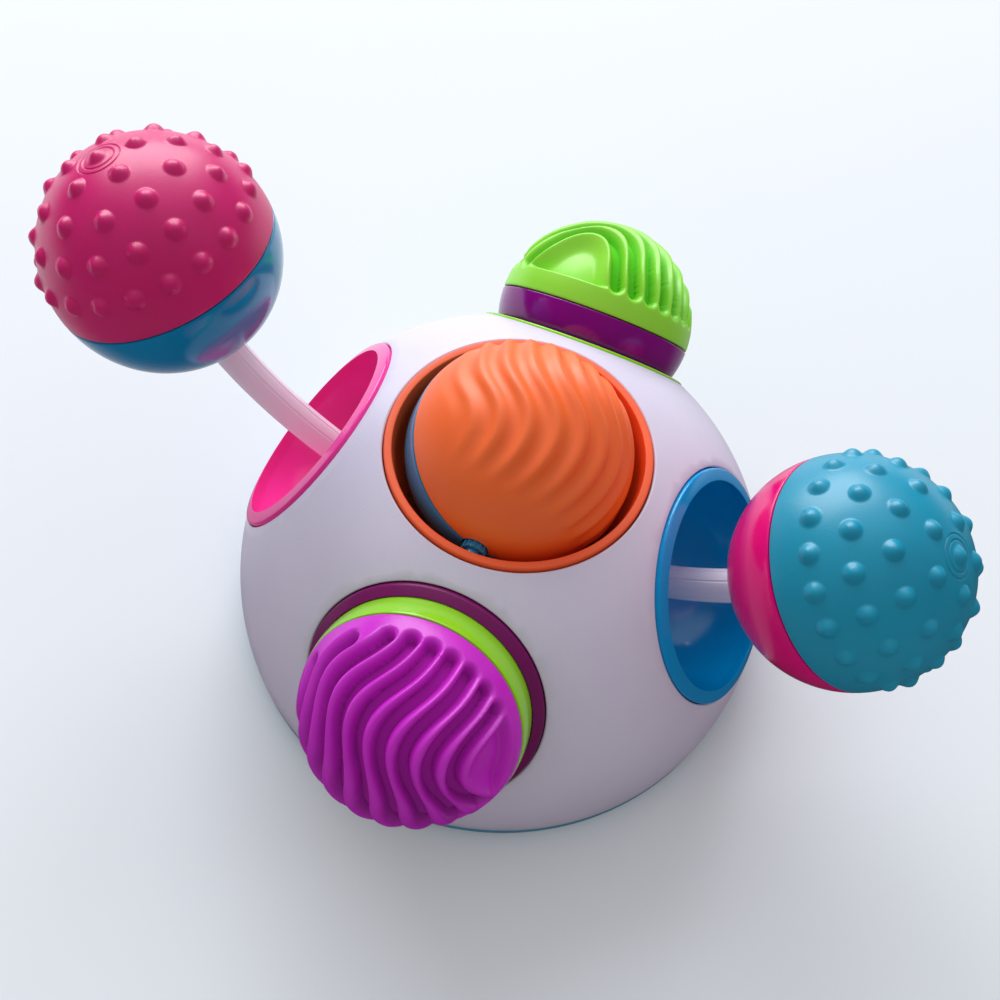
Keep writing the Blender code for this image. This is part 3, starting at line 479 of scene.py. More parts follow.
def cupOutline(plane, rim, mouth, bowl, bowlCentre, way, rise=0.0):
    s = cupSettings
    flange = rim + s["flangeWidth"]
    underShell = toy["domeRadius"] - toy["domeWall"] - toy["flangeGap"]
    flangeTop = math.sqrt(underShell ** 2 - flange ** 2)
    flangeLow = flangeTop - s["flangeThickness"]
    outer = bowl + s["wall"]
    startAngle = math.acos((flangeLow - bowlCentre) / outer)
    outside = arcPoints(outer, startAngle, math.pi - math.asin(way / outer), s["bowlRings"], bowlCentre)
    inside = arcPoints(bowl, math.pi - math.asin(way / bowl), math.pi / 2, s["bowlRings"], bowlCentre)
    lip = [(mouth, plane + rise, s["innerRounding"]), (rim, plane, s["lipRounding"]),
           (rim, math.sqrt(underShell ** 2 - rim ** 2), 0), (flange, flangeTop, 0), (flange, flangeLow, 0)]
    return softened(lip + outside + inside)


def makeCup(colour, finish):
    s = cupSettings
    kind = holds[colour]
    way = s["bushWay"] if kind == "knob" else 0.0
    outline = cupOutline(toy["sidePlane"], s[f"{kind}Rim"], s[f"{kind}Mouth"], s["sideBowl"],
                         toy["sidePlane"] - s["lipDepth"], way, s[f"{colour}Rise"])
    cup = newPiece(f"{colour}Cup", turned(outline, s["segments"]), facing(sideAxis(colour), domeCentre))
    if kind == "arm":
        cutRodWay(cup, s["rodWay"], s["rodWayReach"], s["rodWayReach"], s["rodWaySides"])
    settle(cup, "dome", [f"cup_{colour}"], finish)


def makeTopCup():
    s = cupSettings
    outline = cupOutline(toy["topPlane"], s["topRim"], s["topMouth"], s["topBowl"],
                         toy["topPlane"] - toy["rollerSink"], 0.0)
    cup = newPiece("orangeCup", turned(outline, s["segments"]), Matrix.Translation(domeCentre))
    cutAxleWay(cup, "axleWay", s["axleWay"], s["topBowl"] + s["axleDepth"], s["axleSegments"])
    settle(cup, "dome", ["cup_orange"], "orangeLip")


makeCup("pink", "pinkGloss")
makeCup("blue", "blueGloss")
makeCup("purple", "purpleLip")
makeCup("green", "greenGloss")
makeTopCup()
print("cups made")


# Base plate with screws in round recesses

baseSettings = {"edge": 0.0757, "ring": 0.073166, "ringWall": 0.0020, "ringHeight": 0.0040,
                "thickness": 0.0034, "topRounding": 0.0003, "chamfer": 0.0008, "segments": 200,
                "postReach": 0.062136, "guideReach": 0.0075, "headBore": 0.0032, "headSeat": 0.0023,
                "shankBore": 0.0017, "holeTop": 0.008, "holeLow": -0.002, "holeSegments": 36, "holeTurn": 0.05}
screwSettings = {"headRadius": 0.0029, "recess": 0.0004, "headHeight": 0.0016, "headRounding": 0.0005,
                 "shankRadius": 0.0014, "length": 0.0120, "segments": 24, "slotLength": 0.0032,
                 "slotWidth": 0.0008, "slotDepth": 0.0009, "slotTurn": 0.03, "seed": 4}


def screwPlaces():
    s = baseSettings
    diagonals = [math.radians(45 + 90 * i) for i in range(4)]
    places = [(s["postReach"] * math.cos(a), s["postReach"] * math.sin(a), 0) for a in diagonals]
    return places + [(-s["guideReach"], 0, 0), (s["guideReach"], 0, 0)]


def makeBase():
    s = baseSettings
    top, ringTop, ringInner = s["thickness"], s["thickness"] + s["ringHeight"], s["ring"] - s["ringWall"]
    bend = s["chamfer"] * 0.5
    outline = softened([(0, top, 0), (ringInner, top, 0), (ringInner, ringTop, 0), (s["ring"], ringTop, 0),
                        (s["ring"], top, 0), (s["edge"], top, s["topRounding"]), (s["edge"], bend, bend),
                        (s["edge"] - s["chamfer"], 0, s["chamfer"] * 0.4), (0, 0, 0)])
    base = newPiece("basePlate", turned(outline, s["segments"]))
    hole = [(0, s["holeTop"]), (s["shankBore"], s["holeTop"]), (s["shankBore"], s["headSeat"]),
            (s["headBore"], s["headSeat"]), (s["headBore"], s["holeLow"]), (0, s["holeLow"])]
    holes = bmesh.new()
    for place in screwPlaces():
        one = turned(hole, s["holeSegments"])
        bmesh.ops.remove_doubles(one, verts=one.verts, dist=mergeDistance)
        bmesh.ops.rotate(one, verts=one.verts, cent=(0, 0, 0), matrix=Matrix.Rotation(s["holeTurn"], 3, "Z"))
        bmesh.ops.translate(one, verts=one.verts, vec=place)
        part = bpy.data.meshes.new("hole")
        one.to_mesh(part)
        one.free()
        holes.from_mesh(part)
        bpy.data.meshes.remove(part)
    cutOut(base, newPiece("screwHoles", holes))
    settle(base, "dome", ["base_plate"], "tealBase")


def makeScrewTree():
    tree, start, end = newGroup(
        "screwSet", "GeometryNodeTree",
        {"Geometry": "Geometry", "One Screw": "Object", "Seed": 1, "Material": "Material"},
        {"Geometry": "Geometry"})
    info = addNode(tree, "GeometryNodeObjectInfo")
    points = addNode(tree, "GeometryNodeMeshToPoints")
    spread = addNode(tree, "GeometryNodeInstanceOnPoints")
    turn = addNode(tree, "FunctionNodeRandomValue", data_type="FLOAT")
    turn.inputs[3].default_value = math.tau  # the largest turn
    angle = addNode(tree, "ShaderNodeCombineXYZ")
    wire(tree, (start, "One Screw", info, "Object"), (start, "Geometry", points, "Mesh"),
         (points, "Points", spread, "Points"), (info, "Geometry", spread, "Instance"),
         (start, "Seed", turn, "Seed"), (turn, 1, angle, "Z"), (angle, "Vector", spread, "Rotation"))
    endTree(tree, start, end, spread.outputs["Instances"])
    return tree


def makeScrews():
    s = screwSettings
    headTop = s["recess"] + s["headHeight"]
    outline = softened([(0, s["length"], 0), (s["shankRadius"], s["length"] - s["shankRadius"], 0),
                        (s["shankRadius"], headTop, 0), (s["headRadius"], headTop, 0),
                        (s["headRadius"], s["recess"], s["headRounding"]), (0, s["recess"], 0)], steps=2)
    screw = newPiece("oneScrew", turned(outline, s["segments"]))
    size = Matrix.Diagonal((s["slotLength"], s["slotWidth"], s["slotDepth"] * 2, 1))
    lift = Matrix.Translation((0, 0, s["recess"]))
    for angle in (s["slotTurn"], s["slotTurn"] + math.pi / 2):
        slot = bmesh.new()
        bmesh.ops.create_cube(slot, size=1.0, matrix=lift @ Matrix.Rotation(angle, 4, "Z") @ size)
        cutOut(screw, newPiece("slot", slot))
    screws = throughNodes(newMarks("screwSet", screwPlaces()), makeScrewTree(),
                          {"One Screw": screw, "Seed": s["seed"], "Material": paints["screwSteel"]})
    bpy.data.objects.remove(screw)
    nodes = [f"base_screw_{n}" for n in range(1, 5)] + ["guide_screw_1", "guide_screw_2"]
    settle(screws, "dome", nodes, "screwSteel", sharpAngle=30)


makeBase()
makeScrews()
print("base and screws made")


# Soft caps: a fine round skin whose relief is pushed in or out by a node tree

capSettings = {"edge": 0.0005, "edgeSteps": 4, "insideRings": 14}


def capSkin(name, seam, s, reliefAt, extraRows=()):
    # closed body: skin from the pole to the seam, softened edge, plain inside
    edge, wall, columns = capSettings["edge"], s["wall"], s["columns"]
    last = seam - edge / ballRadius
    rows = np.concatenate([np.linspace(0, last, s["rows"] + 1)[1:], np.array(extraRows)])
    profile = [(a, 0.0, 1.0) for a in np.unique(np.round(rows, 7))]
    for t in np.linspace(0, math.pi / 2, capSettings["edgeSteps"] + 1)[1:]:
        profile.append((last + edge / ballRadius * math.sin(t), -edge * (1 - math.cos(t)), 0.0))
    profile.append((seam, -wall, 0.0))
    profile += [(a, -wall, 0.0) for a in np.linspace(seam, 0, capSettings["insideRings"])[1:-1]]
    around = np.arange(columns) * math.tau / columns
    points, skin = [(0, 0, ballRadius + float(reliefAt(np.zeros(1), np.zeros(1))[0]))], [1.0]
    for angle, offset, outside in profile:
        lift = reliefAt(np.full(columns, angle), around) if outside else np.zeros(columns)
        radius = ballRadius + offset + lift
        points += list(zip(radius * math.sin(angle) * np.cos(around), radius * math.sin(angle) * np.sin(around),
                           radius * math.cos(angle)))
        skin += [outside] * columns
    points.append((0, 0, ballRadius - wall))
    skin.append(0.0)
    faces = [(0, 1 + i, 1 + (i + 1) % columns) for i in range(columns)]
    for k in range(len(profile) - 1):
        a, b = 1 + k * columns, 1 + (k + 1) * columns
        faces += [(a + i, b + i, b + (i + 1) % columns, a + (i + 1) % columns) for i in range(columns)]
    final, a = len(points) - 1, 1 + (len(profile) - 1) * columns
    faces += [(a + i, final, a + (i + 1) % columns) for i in range(columns)]
    mesh = bpy.data.meshes.new(name)
    mesh.from_pydata([tuple(map(float, p)) for p in points], [], faces)
    mesh.attributes.new("skin", "FLOAT", "POINT").data.foreach_set("value", np.array(skin, np.float32))
    mesh.update()
    return linkPiece(name, mesh)


def makeReliefTree(name, target, sizes, profile, mark):
    # moves the skin along its normal by how near it is to the marks, and keeps the share moved
    inputs = {"Geometry": "Geometry", "Marks": "Object", **sizes, "Material": "Material"}
    tree, start, end = newGroup(name, "GeometryNodeTree", inputs, {"Geometry": "Geometry"})
    info = addNode(tree, "GeometryNodeObjectInfo")
    near = addNode(tree, "GeometryNodeProximity", target_element=target)
    skin = addNode(tree, "GeometryNodeInputNamedAttribute", {"Name": "skin"}, data_type="FLOAT")
    push = addNode(tree, "ShaderNodeVectorMath", operation="SCALE")
    move = addNode(tree, "GeometryNodeSetPosition")
    keep = addNode(tree, "GeometryNodeStoreNamedAttribute", {"Name": mark}, data_type="FLOAT", domain="POINT")
    share = mathNode(tree, "MULTIPLY", profile(tree, start, near.outputs["Distance"]), skin.outputs[0])
    lift = mathNode(tree, "MULTIPLY", share, start.outputs["Height"])
    wire(tree, (start, "Marks", info, "Object"), (info, "Geometry", near, 0),
         (addNode(tree, "GeometryNodeInputNormal").outputs[0], push, 0), (lift, push, "Scale"),
         (share, keep, "Value"), (start, "Geometry", keep, "Geometry"), (keep, "Geometry", move, "Geometry"),
         (push, "Vector", move, "Offset"))
    endTree(tree, start, end, move.outputs["Geometry"])
    return tree


def roundProfile(tree, start, distance):
    # a low dome with a clear foot
    share = mathNode(tree, "MINIMUM", mathNode(tree, "DIVIDE", distance, start.outputs["Foot"]), 1.0)
    left = mathNode(tree, "SUBTRACT", 1.0, mathNode(tree, "MULTIPLY", share, share))
    return mathNode(tree, "POWER", left, start.outputs["Roundness"])


def channelProfile(tree, start, distance):
    # a flat floor between strands with round backs
    share = addNode(tree, "ShaderNodeMapRange")
    wire(tree, (distance, share, "Value"), (start, "Crest", share, "From Min"),
         (start, "Floor", share, "From Max"))
    fall = share.outputs["Result"]
    left = mathNode(tree, "SUBTRACT", 1.0, mathNode(tree, "MULTIPLY", fall, fall))
    return mathNode(tree, "SUBTRACT", 1.0, mathNode(tree, "POWER", left, start.outputs["Roundness"]))


bumpTree = makeReliefTree("softBumps", "POINTS", {"Foot": 0.0026, "Roundness": 1.2, "Height": 0.0014},
                          roundProfile, "raised")
# the groove tree keeps the share moved as sunken; the finishes darken the skin there as painted shade
grooveTree = makeReliefTree(
    "combGrooves", "EDGES", {"Crest": 0.0031, "Floor": 0.0015, "Roundness": 0.6, "Height": -0.0030},
    channelProfile, "sunken")


def pressSkin(cap, tree, marks, sizes, finish):
    throughNodes(cap, tree, {"Marks": marks, "Material": paints[finish], **sizes})
    bpy.data.objects.remove(marks)


def placeSkin(cap, matrix):
    bm = bmesh.new()
    bm.from_mesh(cap.data)
    bmesh.ops.recalc_face_normals(bm, faces=bm.faces)
    bm.to_mesh(cap.data)
    bm.free()
    cap.data.transform(matrix)


bumpSettings = {"seam": 92, "wall": 0.0026, "rows": 150, "columns": 440, "foot": 0.0025, "roundness": 1.2,
                "height": 0.0014, "gateRings": (0.0037, 0.0051), "gateWidth": 0.00028, "gateDepth": 0.00022,
                "rings": ((0, 1), (18, 5), (36, 10), (54, 15), (72, 20)), "pinkTurn": -5, "blueTurn": 10}


def bumpSpots():
    spots = []
    for degrees, count in bumpSettings["rings"]:
        polar = math.radians(degrees)
        for i in range(count):
            around = math.tau * i / count
            spots.append((ballRadius * math.sin(polar) * math.cos(around),
                          ballRadius * math.sin(polar) * math.sin(around), ballRadius * math.cos(polar)))
    return spots


def gateRelief(angle, around):
    s = bumpSettings
    lift = np.zeros_like(angle)
    for ring in s["gateRings"]:
        lift -= s["gateDepth"] * np.clip(1 - np.abs(angle * ballRadius - ring) / s["gateWidth"], 0, 1)
    return lift


def armBall(colour):
    swing = math.radians(toy[f"{colour}Swing"])
    side = -1 if colour == "pink" else 1
    lean = swing - math.asin(ballRadius / (2 * toy["armRadius"]))
    centre = armCentre + Vector((side * math.sin(swing), 0, -math.cos(swing))) * toy["armRadius"]
    return facing((side * math.cos(lean), 0, math.sin(lean)), centre, bumpSettings[f"{colour}Turn"])


def makeBumpCap(colour):
    s = bumpSettings
    finish = f"{colour}Rubber"
    extraRows = [(ring + step * s["gateWidth"]) / ballRadius
                 for ring in s["gateRings"] for step in (-1, -0.5, 0, 0.5, 1)]
    cap = capSkin(f"{colour}Cap", math.radians(s["seam"]), s, gateRelief, extraRows)
    pressSkin(cap, bumpTree, newMarks("bumpSpots", bumpSpots()),
              {"Foot": s["foot"], "Roundness": s["roundness"], "Height": s["height"]}, finish)
    placeSkin(cap, armBall(colour))
    settle(cap, "arm", [f"{colour}_cap"], finish, sharpAngle=70)


makeBumpCap("pink")
makeBumpCap("blue")
print("bumpy caps made")


# Ridged caps: grooves nest round a half-moon hollow and end at a plain band

ridgeSettings = {"wall": 0.0043, "rows": 170, "columns": 480, "centre": 0.0460, "pitch": 0.0063, "count": 10,
                 "firstRow": 0.8, "endGap": 0.32, "lineSteps": 240, "sway": 0.0018, "swayLength": 0.034,
                 "lean": 0.41, "hollow": 0.0207, "floorHalf": 0.0014, "roundness": 0.4, "depth": 0.0036,
                 "hollowWall": 0.0062, "wallBend": 0.65, "bandWall": 0.0012, "skinDrop": 0.00002,
                 "purple": {"seam": 81, "band": 0.0045, "turn": 9.5},
                 "green": {"seam": 90, "band": 0.0062, "turn": 70}}


def bandEdge(colour):
    knob = ridgeSettings[colour]
    return math.radians(knob["seam"]) - knob["band"] / ballRadius


def swayedReach(row, turn):
    # how far a groove lies from the nest's centre, the first groove being row 0
    s = ridgeSettings
    reach = s["hollow"] + (row + s["firstRow"]) * s["pitch"]
    lean = s["lean"] * (row + s["firstRow"]) * s["pitch"]
    return reach + s["sway"] * np.cos(math.tau * (reach * turn - lean) / s["swayLength"])


def grooveLines(colour):
    s = ridgeSettings
    limit = bandEdge(colour) * ballRadius - s["pitch"] * s["endGap"]
    spread = math.asin(limit / s["centre"])
    points, edges = [], []
    for row in range(s["count"]):
        started = False
        for turn in np.linspace(-spread, spread, s["lineSteps"] + 1):
            far = swayedReach(row, turn)
            flat = Vector((s["centre"] - math.cos(turn) * far, math.sin(turn) * far))
            if flat.length > limit:
                started = False
                continue
            polar = flat.length / ballRadius
            points.append(Vector((*(flat.normalized() * math.sin(polar)), math.cos(polar))) * ballRadius)
            if started:
                edges.append((len(points) - 2, len(points) - 1))
            started = True
    return points, edges


def hollowRelief(base):
    s = ridgeSettings

    def relief(angle, around):
        across = s["centre"] - angle * np.cos(around) * ballRadius
        beside = angle * np.sin(around) * ballRadius
        crest = swayedReach(0, np.arctan2(beside, across)) - s["pitch"] / 2
        slope = np.clip((crest - np.hypot(across, beside)) / s["hollowWall"], 0, 1) ** s["wallBend"]
        wall = np.clip((base - angle) * ballRadius / s["bandWall"], 0, 1)
        return -s["depth"] * slope ** 2 * (3 - 2 * slope) * wall ** 2 * (3 - 2 * wall) - s["skinDrop"]
    return relief


def knobMatrix(colour, spin):
    joint = joints[f"{colour}_twist"]
    return facing(joint["axis"], Vector(joint["pos_m"]), spin)


def makeRidgeCap(colour):
    s = ridgeSettings
    finish = f"{colour}Rubber"
    cap = capSkin(f"{colour}Cap", math.radians(s[colour]["seam"]), s, hollowRelief(bandEdge(colour)))
    pressSkin(cap, grooveTree, newMarks("grooveLines", *grooveLines(colour)),
              {"Crest": s["pitch"] / 2, "Floor": s["floorHalf"], "Roundness": s["roundness"],
               "Height": -s["depth"]}, finish)
    placeSkin(cap, knobMatrix(colour, s[colour]["turn"]))
    settle(cap, f"{colour}_knob", [f"{colour}_cap"], finish, sharpAngle=70)


makeRidgeCap("purple")
makeRidgeCap("green")
print("ridged caps made")


# Waved cap: shallow dunes that fade out at one side

waveSettings = {"seam": 90, "wall": 0.0034, "rows": 150, "columns": 400, "band": 0.0050, "pitch": 0.0061,
                "height": 0.0005, "depth": 0.0007, "shift": 0.0194, "middle": 0.0039, "lean": 0.325,
                "bend": 0.0113, "sagTop": 0.0148, "sag": 0.0022, "sagReach": 0.0235, "lowEnd": -0.0260,
                "lowFade": 0.0110, "sideEnd": -0.0240, "sideFade": 0.0180, "bandFade": 0.0015, "skew": 0.25,
                "turn": 25}
axleSettings = {"end": 0.0320, "endRounding": 0.0002, "journal": 0.0018, "hubOut": 0.0297, "hubIn": 0.0277,
                "hub": 0.0027, "hubRounding": 0.0003, "axle": 0.0022, "segments": 48, "ribCount": 12,
                "ribWidth": 0.0008, "ribHeight": 0.0004, "ribShare": 0.98, "way": 0.0034, "wayEnd": 0.0323}


def waveRelief(angle, around):
    s = waveSettings
    limit = math.radians(s["seam"]) * ballRadius - s["band"]
    across, along = angle * np.cos(around) * ballRadius, angle * np.sin(around) * ballRadius
    start = across + s["shift"] * (1 + np.tanh((along - s["middle"] - s["lean"] * across) / s["bend"])) / 2
    start = start + s["sag"] * np.clip((s["sagTop"] - along) / s["sagReach"], 0, None) ** 2
    phase = (start - limit) / s["pitch"] * math.tau
    dune = np.cos(phase + s["skew"] * np.sin(phase))
    fade = np.clip((along - s["lowEnd"]) / s["lowFade"], 0, 1)
    fade = fade * np.clip((start - s["sideEnd"]) / s["sideFade"], 0, 1)
    fade = fade * np.clip((limit + s["bandFade"] - angle * ballRadius) / (2 * s["bandFade"]), 0, 1)
    return np.where(dune > 0, s["height"], s["depth"]) * dune * fade * fade * (3 - 2 * fade)


def cutHubWay(piece):
    s = axleSettings
    cutAxleWay(piece, "hubWay", s["way"], s["wayEnd"], s["segments"])


def rollerMatrix():
    return Matrix.Translation(rollerCentre) @ Matrix.Rotation(math.radians(waveSettings["turn"]), 4, "Y")


def makeWaveCap():
    cap = capSkin("orangeCap", math.radians(waveSettings["seam"]), waveSettings, waveRelief)
    placeSkin(cap, rollerMatrix())
    cutHubWay(cap)
    settle(cap, "orange_roller", ["orange_cap"], "orangeRubber", sharpAngle=60)


makeWaveCap()
print("waved cap made")


# Hard backs of the balls

backSettings = {"segments": 128, "rings": 48, "wall": 0.0022, "edgeRounding": 0.0004, "lip": 0.0045,
                "outerStart": 0.03, "innerStart": 0.2, "spindleWay": 0.0043, "rodWay": 0.0047,
                "rodWayShort": 10, "rodWaySides": 48}


def backOutline(seam, way):
    s = backSettings
    edge = math.radians(seam) + toy["pieceGap"] / ballRadius
    outside = arcPoints(ballRadius, edge + s["outerStart"], math.pi - math.asin(way / ballRadius), s["rings"])
    innerRadius = ballRadius - s["wall"]
    inside = arcPoints(innerRadius, math.pi - math.asin(way / innerRadius), edge + s["innerStart"],
                       s["rings"] // 2)
    rim = ballRadius - s["lip"]
    top = [(rim * math.sin(edge), rim * math.cos(edge), 0),
           (ballRadius * math.sin(edge), ballRadius * math.cos(edge), s["edgeRounding"])]
    return softened(top + outside + inside, steps=3)


def makeArmBack(colour, finish):
    s = backSettings
    outline = backOutline(bumpSettings["seam"], 0.0)
    back = newPiece(f"{colour}Back", turned(outline, s["segments"]), armBall(colour))
    cutRodWay(back, s["rodWay"], toy["pinkSwing"] - s["rodWayShort"], toy["blueSwing"] - s["rodWayShort"],
              s["rodWaySides"])
    settle(back, "arm", [f"{colour}_back"], finish)


def makeKnobBack(colour, finish):
    s = backSettings
    outline = backOutline(ridgeSettings[colour]["seam"], s["spindleWay"])
    back = newPiece(f"{colour}Back", turned(outline, s["segments"]), knobMatrix(colour, 0))
    settle(back, f"{colour}_knob", [f"{colour}_back"], finish)


def makeRollerBack():
    outline = backOutline(waveSettings["seam"], 0.0)
    back = newPiece("orangeBack", turned(outline, backSettings["segments"]), rollerMatrix())
    cutHubWay(back)
    settle(back, "orange_roller", ["orange_back"], "tealBackGloss")


makeArmBack("pink", "blueBackGloss")
makeArmBack("blue", "pinkBackGloss")
makeKnobBack("purple", "greenGloss")
makeKnobBack("green", "purpleBackGloss")
makeRollerBack()
print("hard backs made")


# Curved rod with long parting lines and a flat land along its inner side

rodSettings = {"sides": 72, "step": 1.2, "lines": (3, 177, 69, 111), "lineWidth": 4.0, "lineDepth": 0.00028,
               "landMiddle": 90, "landHalf": 21.0, "landFlat": 0.35}


def rodRadiusAt(around):
    s = rodSettings
    degrees = math.degrees(around)
    radius = toy["rodRadius"]
    fromLand = abs(degrees - s["landMiddle"])
    if fromLand < s["landHalf"]:
        chord = math.cos(math.radians(s["landHalf"])) / math.cos(math.radians(fromLand))
        radius *= chord * s["landFlat"] + 1 - s["landFlat"]
    for line in s["lines"]:
        radius -= s["lineDepth"] * max(0.0, 1 - abs(degrees - line) / s["lineWidth"])
    return radius


def makeRod():
    s = rodSettings
    short = math.degrees((ballRadius - toy["rodInsert"]) / toy["armRadius"])
    rod = arcTube(rodRadiusAt, toy["pinkSwing"] - short, toy["blueSwing"] - short, s["sides"], s["step"])
    settle(newPiece("armRod", rod), "arm", ["arm_rod"], "lilacRod", sharpAngle=30)


makeRod()
print("rod made")


# Axle with ribbed hubs

def makeRibTree():
    tree, start, end = newGroup(
        "hubRibs", "GeometryNodeTree",
        {"Geometry": "Geometry", "Count": 12, "Hub": 0.004, "Rib Width": 0.001, "Rib Length": 0.002,
         "Middle": 0.0285, "Material": "Material"}, {"Geometry": "Geometry"})
    ring = addNode(tree, "GeometryNodeMeshCircle")
    rib = addNode(tree, "GeometryNodeMeshCylinder", {"Vertices": 8})
    spread = addNode(tree, "GeometryNodeInstanceOnPoints")
    join = addNode(tree, "GeometryNodeJoinGeometry")
    half = mathNode(tree, "MULTIPLY", start.outputs["Rib Width"], 0.5)
    wire(tree, (start, "Count", ring, "Vertices"), (start, "Hub", ring, "Radius"), (half, rib, "Radius"),
         (start, "Rib Length", rib, "Depth"), (ring, "Mesh", spread, "Points"),
         (rib, "Mesh", spread, "Instance"))
    for side in (1.0, -1.0):
        move = addNode(tree, "GeometryNodeTransform")
        lift = addNode(tree, "ShaderNodeCombineXYZ")
        wire(tree, (mathNode(tree, "MULTIPLY", start.outputs["Middle"], side), lift, "Z"),
             (lift, "Vector", move, "Translation"), (spread, "Instances", move, "Geometry"),
             (move, "Geometry", join, "Geometry"))
    wire(tree, (start, "Geometry", join, "Geometry"))
    endTree(tree, start, end, join.outputs["Geometry"])
    return tree


def makeAxle():
    s = axleSettings
    corners = [(0, s["end"], 0), (s["journal"], s["end"], s["endRounding"]), (s["journal"], s["hubOut"], 0),
               (s["hub"], s["hubOut"], s["hubRounding"]), (s["hub"], s["hubIn"], s["endRounding"]),
               (s["axle"], s["hubIn"], 0)]
    corners += [(radius, -height, rounding) for radius, height, rounding in reversed(corners)]
    axle = newPiece("orangeAxle", turned(softened(corners, steps=2), s["segments"]))
    throughNodes(axle, makeRibTree(), {
        "Count": s["ribCount"], "Hub": s["hub"] - s["ribWidth"] * 0.5 + s["ribHeight"],
        "Rib Width": s["ribWidth"], "Rib Length": (s["hubOut"] - s["hubIn"]) * s["ribShare"],
        "Middle": (s["hubOut"] + s["hubIn"]) / 2, "Material": paints["tealBackGloss"]})
    axle.data.transform(facing((0, 1, 0), rollerCentre))
    settle(axle, "orange_roller", ["orange_axle"], "tealBackGloss")


makeAxle()
print("axle made")


# Solids that stay as they are take the new finishes

for node, finish in (("arm_guide", "innerWhite"), ("purple_bush", "innerWhite"), ("green_bush", "innerWhite"),
                     ("purple_spindle", "lilacRod"), ("green_spindle", "lilacRod"),
                     ("purple_clip", "screwSteel"), ("green_clip", "screwSteel")):
    for slot in frame["nodes"][node].material_slots:
        slot.material = paints[finish]


# Floor, light and camera

stageSettings = {"floorSize": 6.0, "floorColour": (230, 234, 239), "floorDeep": (227, 231, 236),
                 "floorBounce": (200, 196, 202), "floorGloss": (54, 53, 56), "floorClouds": 2.0,
                 "floorRoughness": 0.85, "floorSpecular": 0.1, "glossStart": 0.0, "glossStop": 0.13,
                 "skyLow": (1.0, 0.95, 0.92), "skyHigh": (0.94, 0.97, 1.0), "skyWeak": 0.37, "skyStrong": 0.88,
                 "windowSide": (-0.25, 0.62, 0.74), "windowFrom": -0.25, "windowTo": 0.95, "mirrorFrom": 0.68,
                 "frontGloss": 0.04, "backdrop": 0.95, "keyPower": 40.0, "keySize": (1.9, 1.5),
                 "keyPlace": (-0.96, 1.42, 1.08), "keyTarget": (0, 0, 0.05), "keyColour": (0.96, 0.98, 1.0),
                 "keySide": (-0.55, 0.83, 0.0)}
cameraSettings = {"place": (0.03705, -0.1457, 0.31258), "right": (0.92508, 0.37405, 0.06571),
                  "down": (0.35601, -0.79387, -0.49297), "lens": 40.69, "sensor": 36.0, "near": 0.01, "far": 20}


def makeFloor():
    s = stageSettings
    bm = bmesh.new()
    bmesh.ops.create_grid(bm, x_segments=8, y_segments=8, size=s["floorSize"] / 2)
    floor = linkPiece("floor", bpy.data.meshes.new("floor"))
    bm.to_mesh(floor.data)
    bm.free()
    material, tree, shader = newMaterial("paleFloor")
    setInputs(shader, {"Roughness": s["floorRoughness"], "Specular IOR Level": s["floorSpecular"]})
    skin = addNode(tree, "ShaderNodeGroup", {
        "Colour": linear(s["floorColour"]), "Deep Colour": linear(s["floorDeep"]),
        "Cloud Scale": s["floorClouds"]}, node_tree=mouldedSkinAndShade)
    # the floor throws less light up than it shows, and mirrors bright only on the window's side
    path = addNode(tree, "ShaderNodeLightPath")
    dim = addNode(tree, "ShaderNodeMix", {"A": linear(s["floorBounce"]), "B": linear(s["floorGloss"])},
                  data_type="RGBA")
    seen = addNode(tree, "ShaderNodeMix", data_type="RGBA")
    place = addNode(tree, "ShaderNodeVectorMath", operation="DOT_PRODUCT")
    place.inputs[1].default_value = s["keySide"]
    side = addNode(tree, "ShaderNodeMapRange", {"From Min": s["glossStart"], "From Max": s["glossStop"]})
    wire(tree, (addNode(tree, "ShaderNodeTexCoord").outputs["Object"], place, 0),
         (place, "Value", side, "Value"), (path, "Is Glossy Ray", dim, "Factor"))
    mirrored = mathNode(tree, "MULTIPLY", path.outputs["Is Glossy Ray"], side.outputs["Result"])
    plain = mathNode(tree, "MAXIMUM", path.outputs["Is Camera Ray"], mirrored)
    wire(tree, (plain, seen, "Factor"), (dim, "Result", seen, "A"), (skin, "Colour", seen, "B"),
         (seen, "Result", shader, "Base Color"))
    floor.data.materials.append(material)


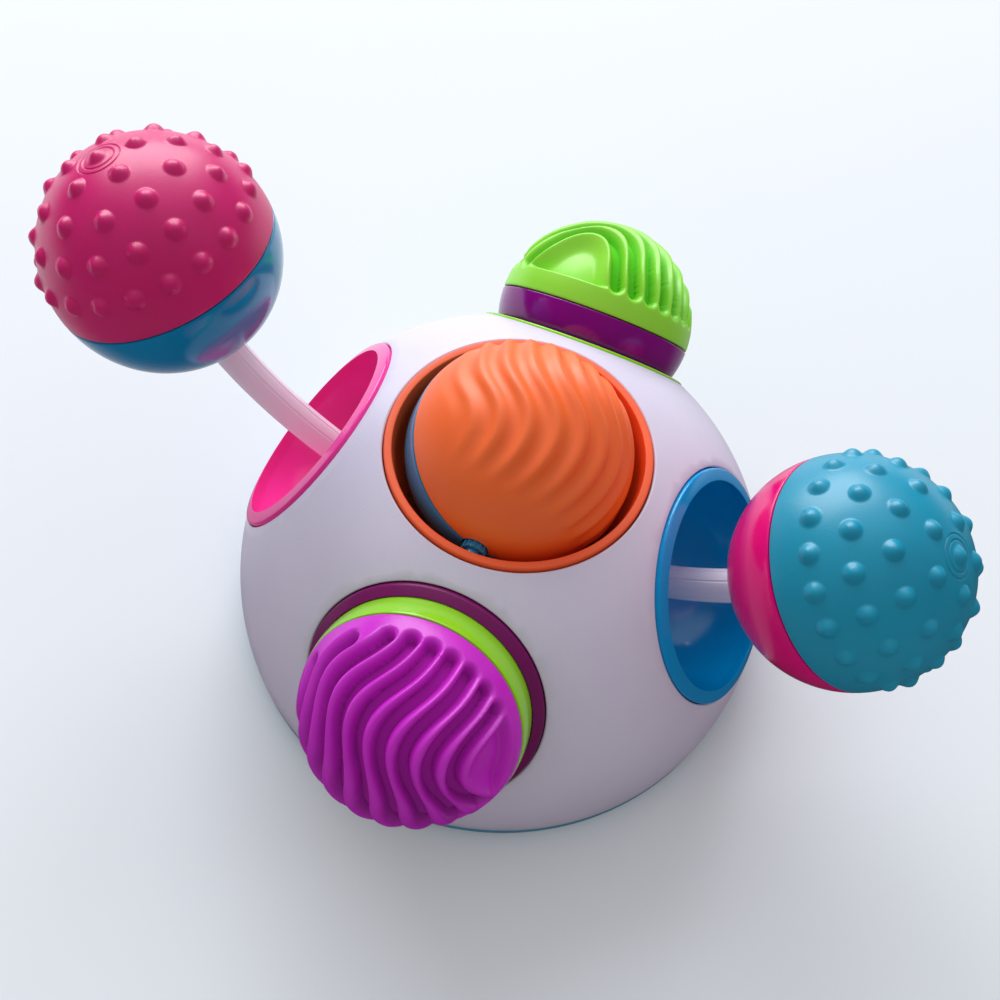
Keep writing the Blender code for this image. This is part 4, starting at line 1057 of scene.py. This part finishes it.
def makeWorld():
    # a soft room: bright towards the window, dim and a little warm behind the viewer
    s = stageSettings
    world = bpy.data.worlds.new("studio")
    world.use_nodes = True
    bpy.context.scene.world = world
    tree = world.node_tree
    background = tree.nodes["Background"]
    towards = addNode(tree, "ShaderNodeVectorMath", operation="DOT_PRODUCT")
    towards.inputs[1].default_value = s["windowSide"]
    blend = addNode(tree, "ShaderNodeMapRange", {"From Min": s["windowFrom"], "From Max": s["windowTo"]},
                    interpolation_type="SMOOTHSTEP")
    colour = addNode(tree, "ShaderNodeMix", {"A": (*s["skyLow"], 1), "B": (*s["skyHigh"], 1)}, data_type="RGBA")
    rise = mathNode(tree, "MULTIPLY", blend.outputs["Result"], s["skyStrong"] - s["skyWeak"])
    light = mathNode(tree, "ADD", rise, s["skyWeak"])
    path = addNode(tree, "ShaderNodeLightPath")
    mirrorSide = addNode(tree, "ShaderNodeMapRange", {"From Min": s["mirrorFrom"], "From Max": s["windowTo"]},
                         interpolation_type="SMOOTHSTEP")
    front = mathNode(tree, "MAXIMUM", mirrorSide.outputs["Result"], s["frontGloss"])
    mirrored = addNode(tree, "ShaderNodeMix", {"A": 1.0}, data_type="FLOAT")
    wire(tree, (path, "Is Glossy Ray", mirrored, "Factor"), (front, mirrored, "B"))
    light = mathNode(tree, "MULTIPLY", light, mirrored.outputs["Result"])
    seen = addNode(tree, "ShaderNodeMix", {"B": s["backdrop"]}, data_type="FLOAT")
    wire(tree, (addNode(tree, "ShaderNodeTexCoord").outputs["Generated"], towards, 0),
         (towards, "Value", blend, "Value"), (towards, "Value", mirrorSide, "Value"),
         (blend, "Result", colour, "Factor"), (colour, "Result", background, "Color"), (light, seen, "A"),
         (path, "Is Camera Ray", seen, "Factor"), (seen, "Result", background, "Strength"))


def makeWindowLight():
    s = stageSettings
    lamp = bpy.data.lights.new("windowLight", "AREA")
    lamp.energy, lamp.color, lamp.shape = s["keyPower"], s["keyColour"], "RECTANGLE"
    lamp.size, lamp.size_y = s["keySize"]
    holder = linkPiece("windowLight", lamp)
    holder.location = s["keyPlace"]
    towards = Vector(s["keyTarget"]) - Vector(s["keyPlace"])
    holder.rotation_euler = towards.to_track_quat("-Z", "Y").to_euler()


def makeCamera():
    s = cameraSettings
    camera = linkPiece("camera", bpy.data.cameras.new("camera"))
    right, down = Vector(s["right"]), Vector(s["down"])
    turn = Matrix((right, -down, -right.cross(down))).transposed().to_4x4()
    camera.matrix_world = Matrix.Translation(s["place"]) @ turn
    camera.data.sensor_width, camera.data.lens = s["sensor"], s["lens"]
    camera.data.clip_start, camera.data.clip_end = s["near"], s["far"]
    bpy.context.scene.camera = camera


makeFloor()
makeWorld()
makeWindowLight()
makeCamera()
bpy.context.scene.view_settings.view_transform = "Standard"
print("stage made")
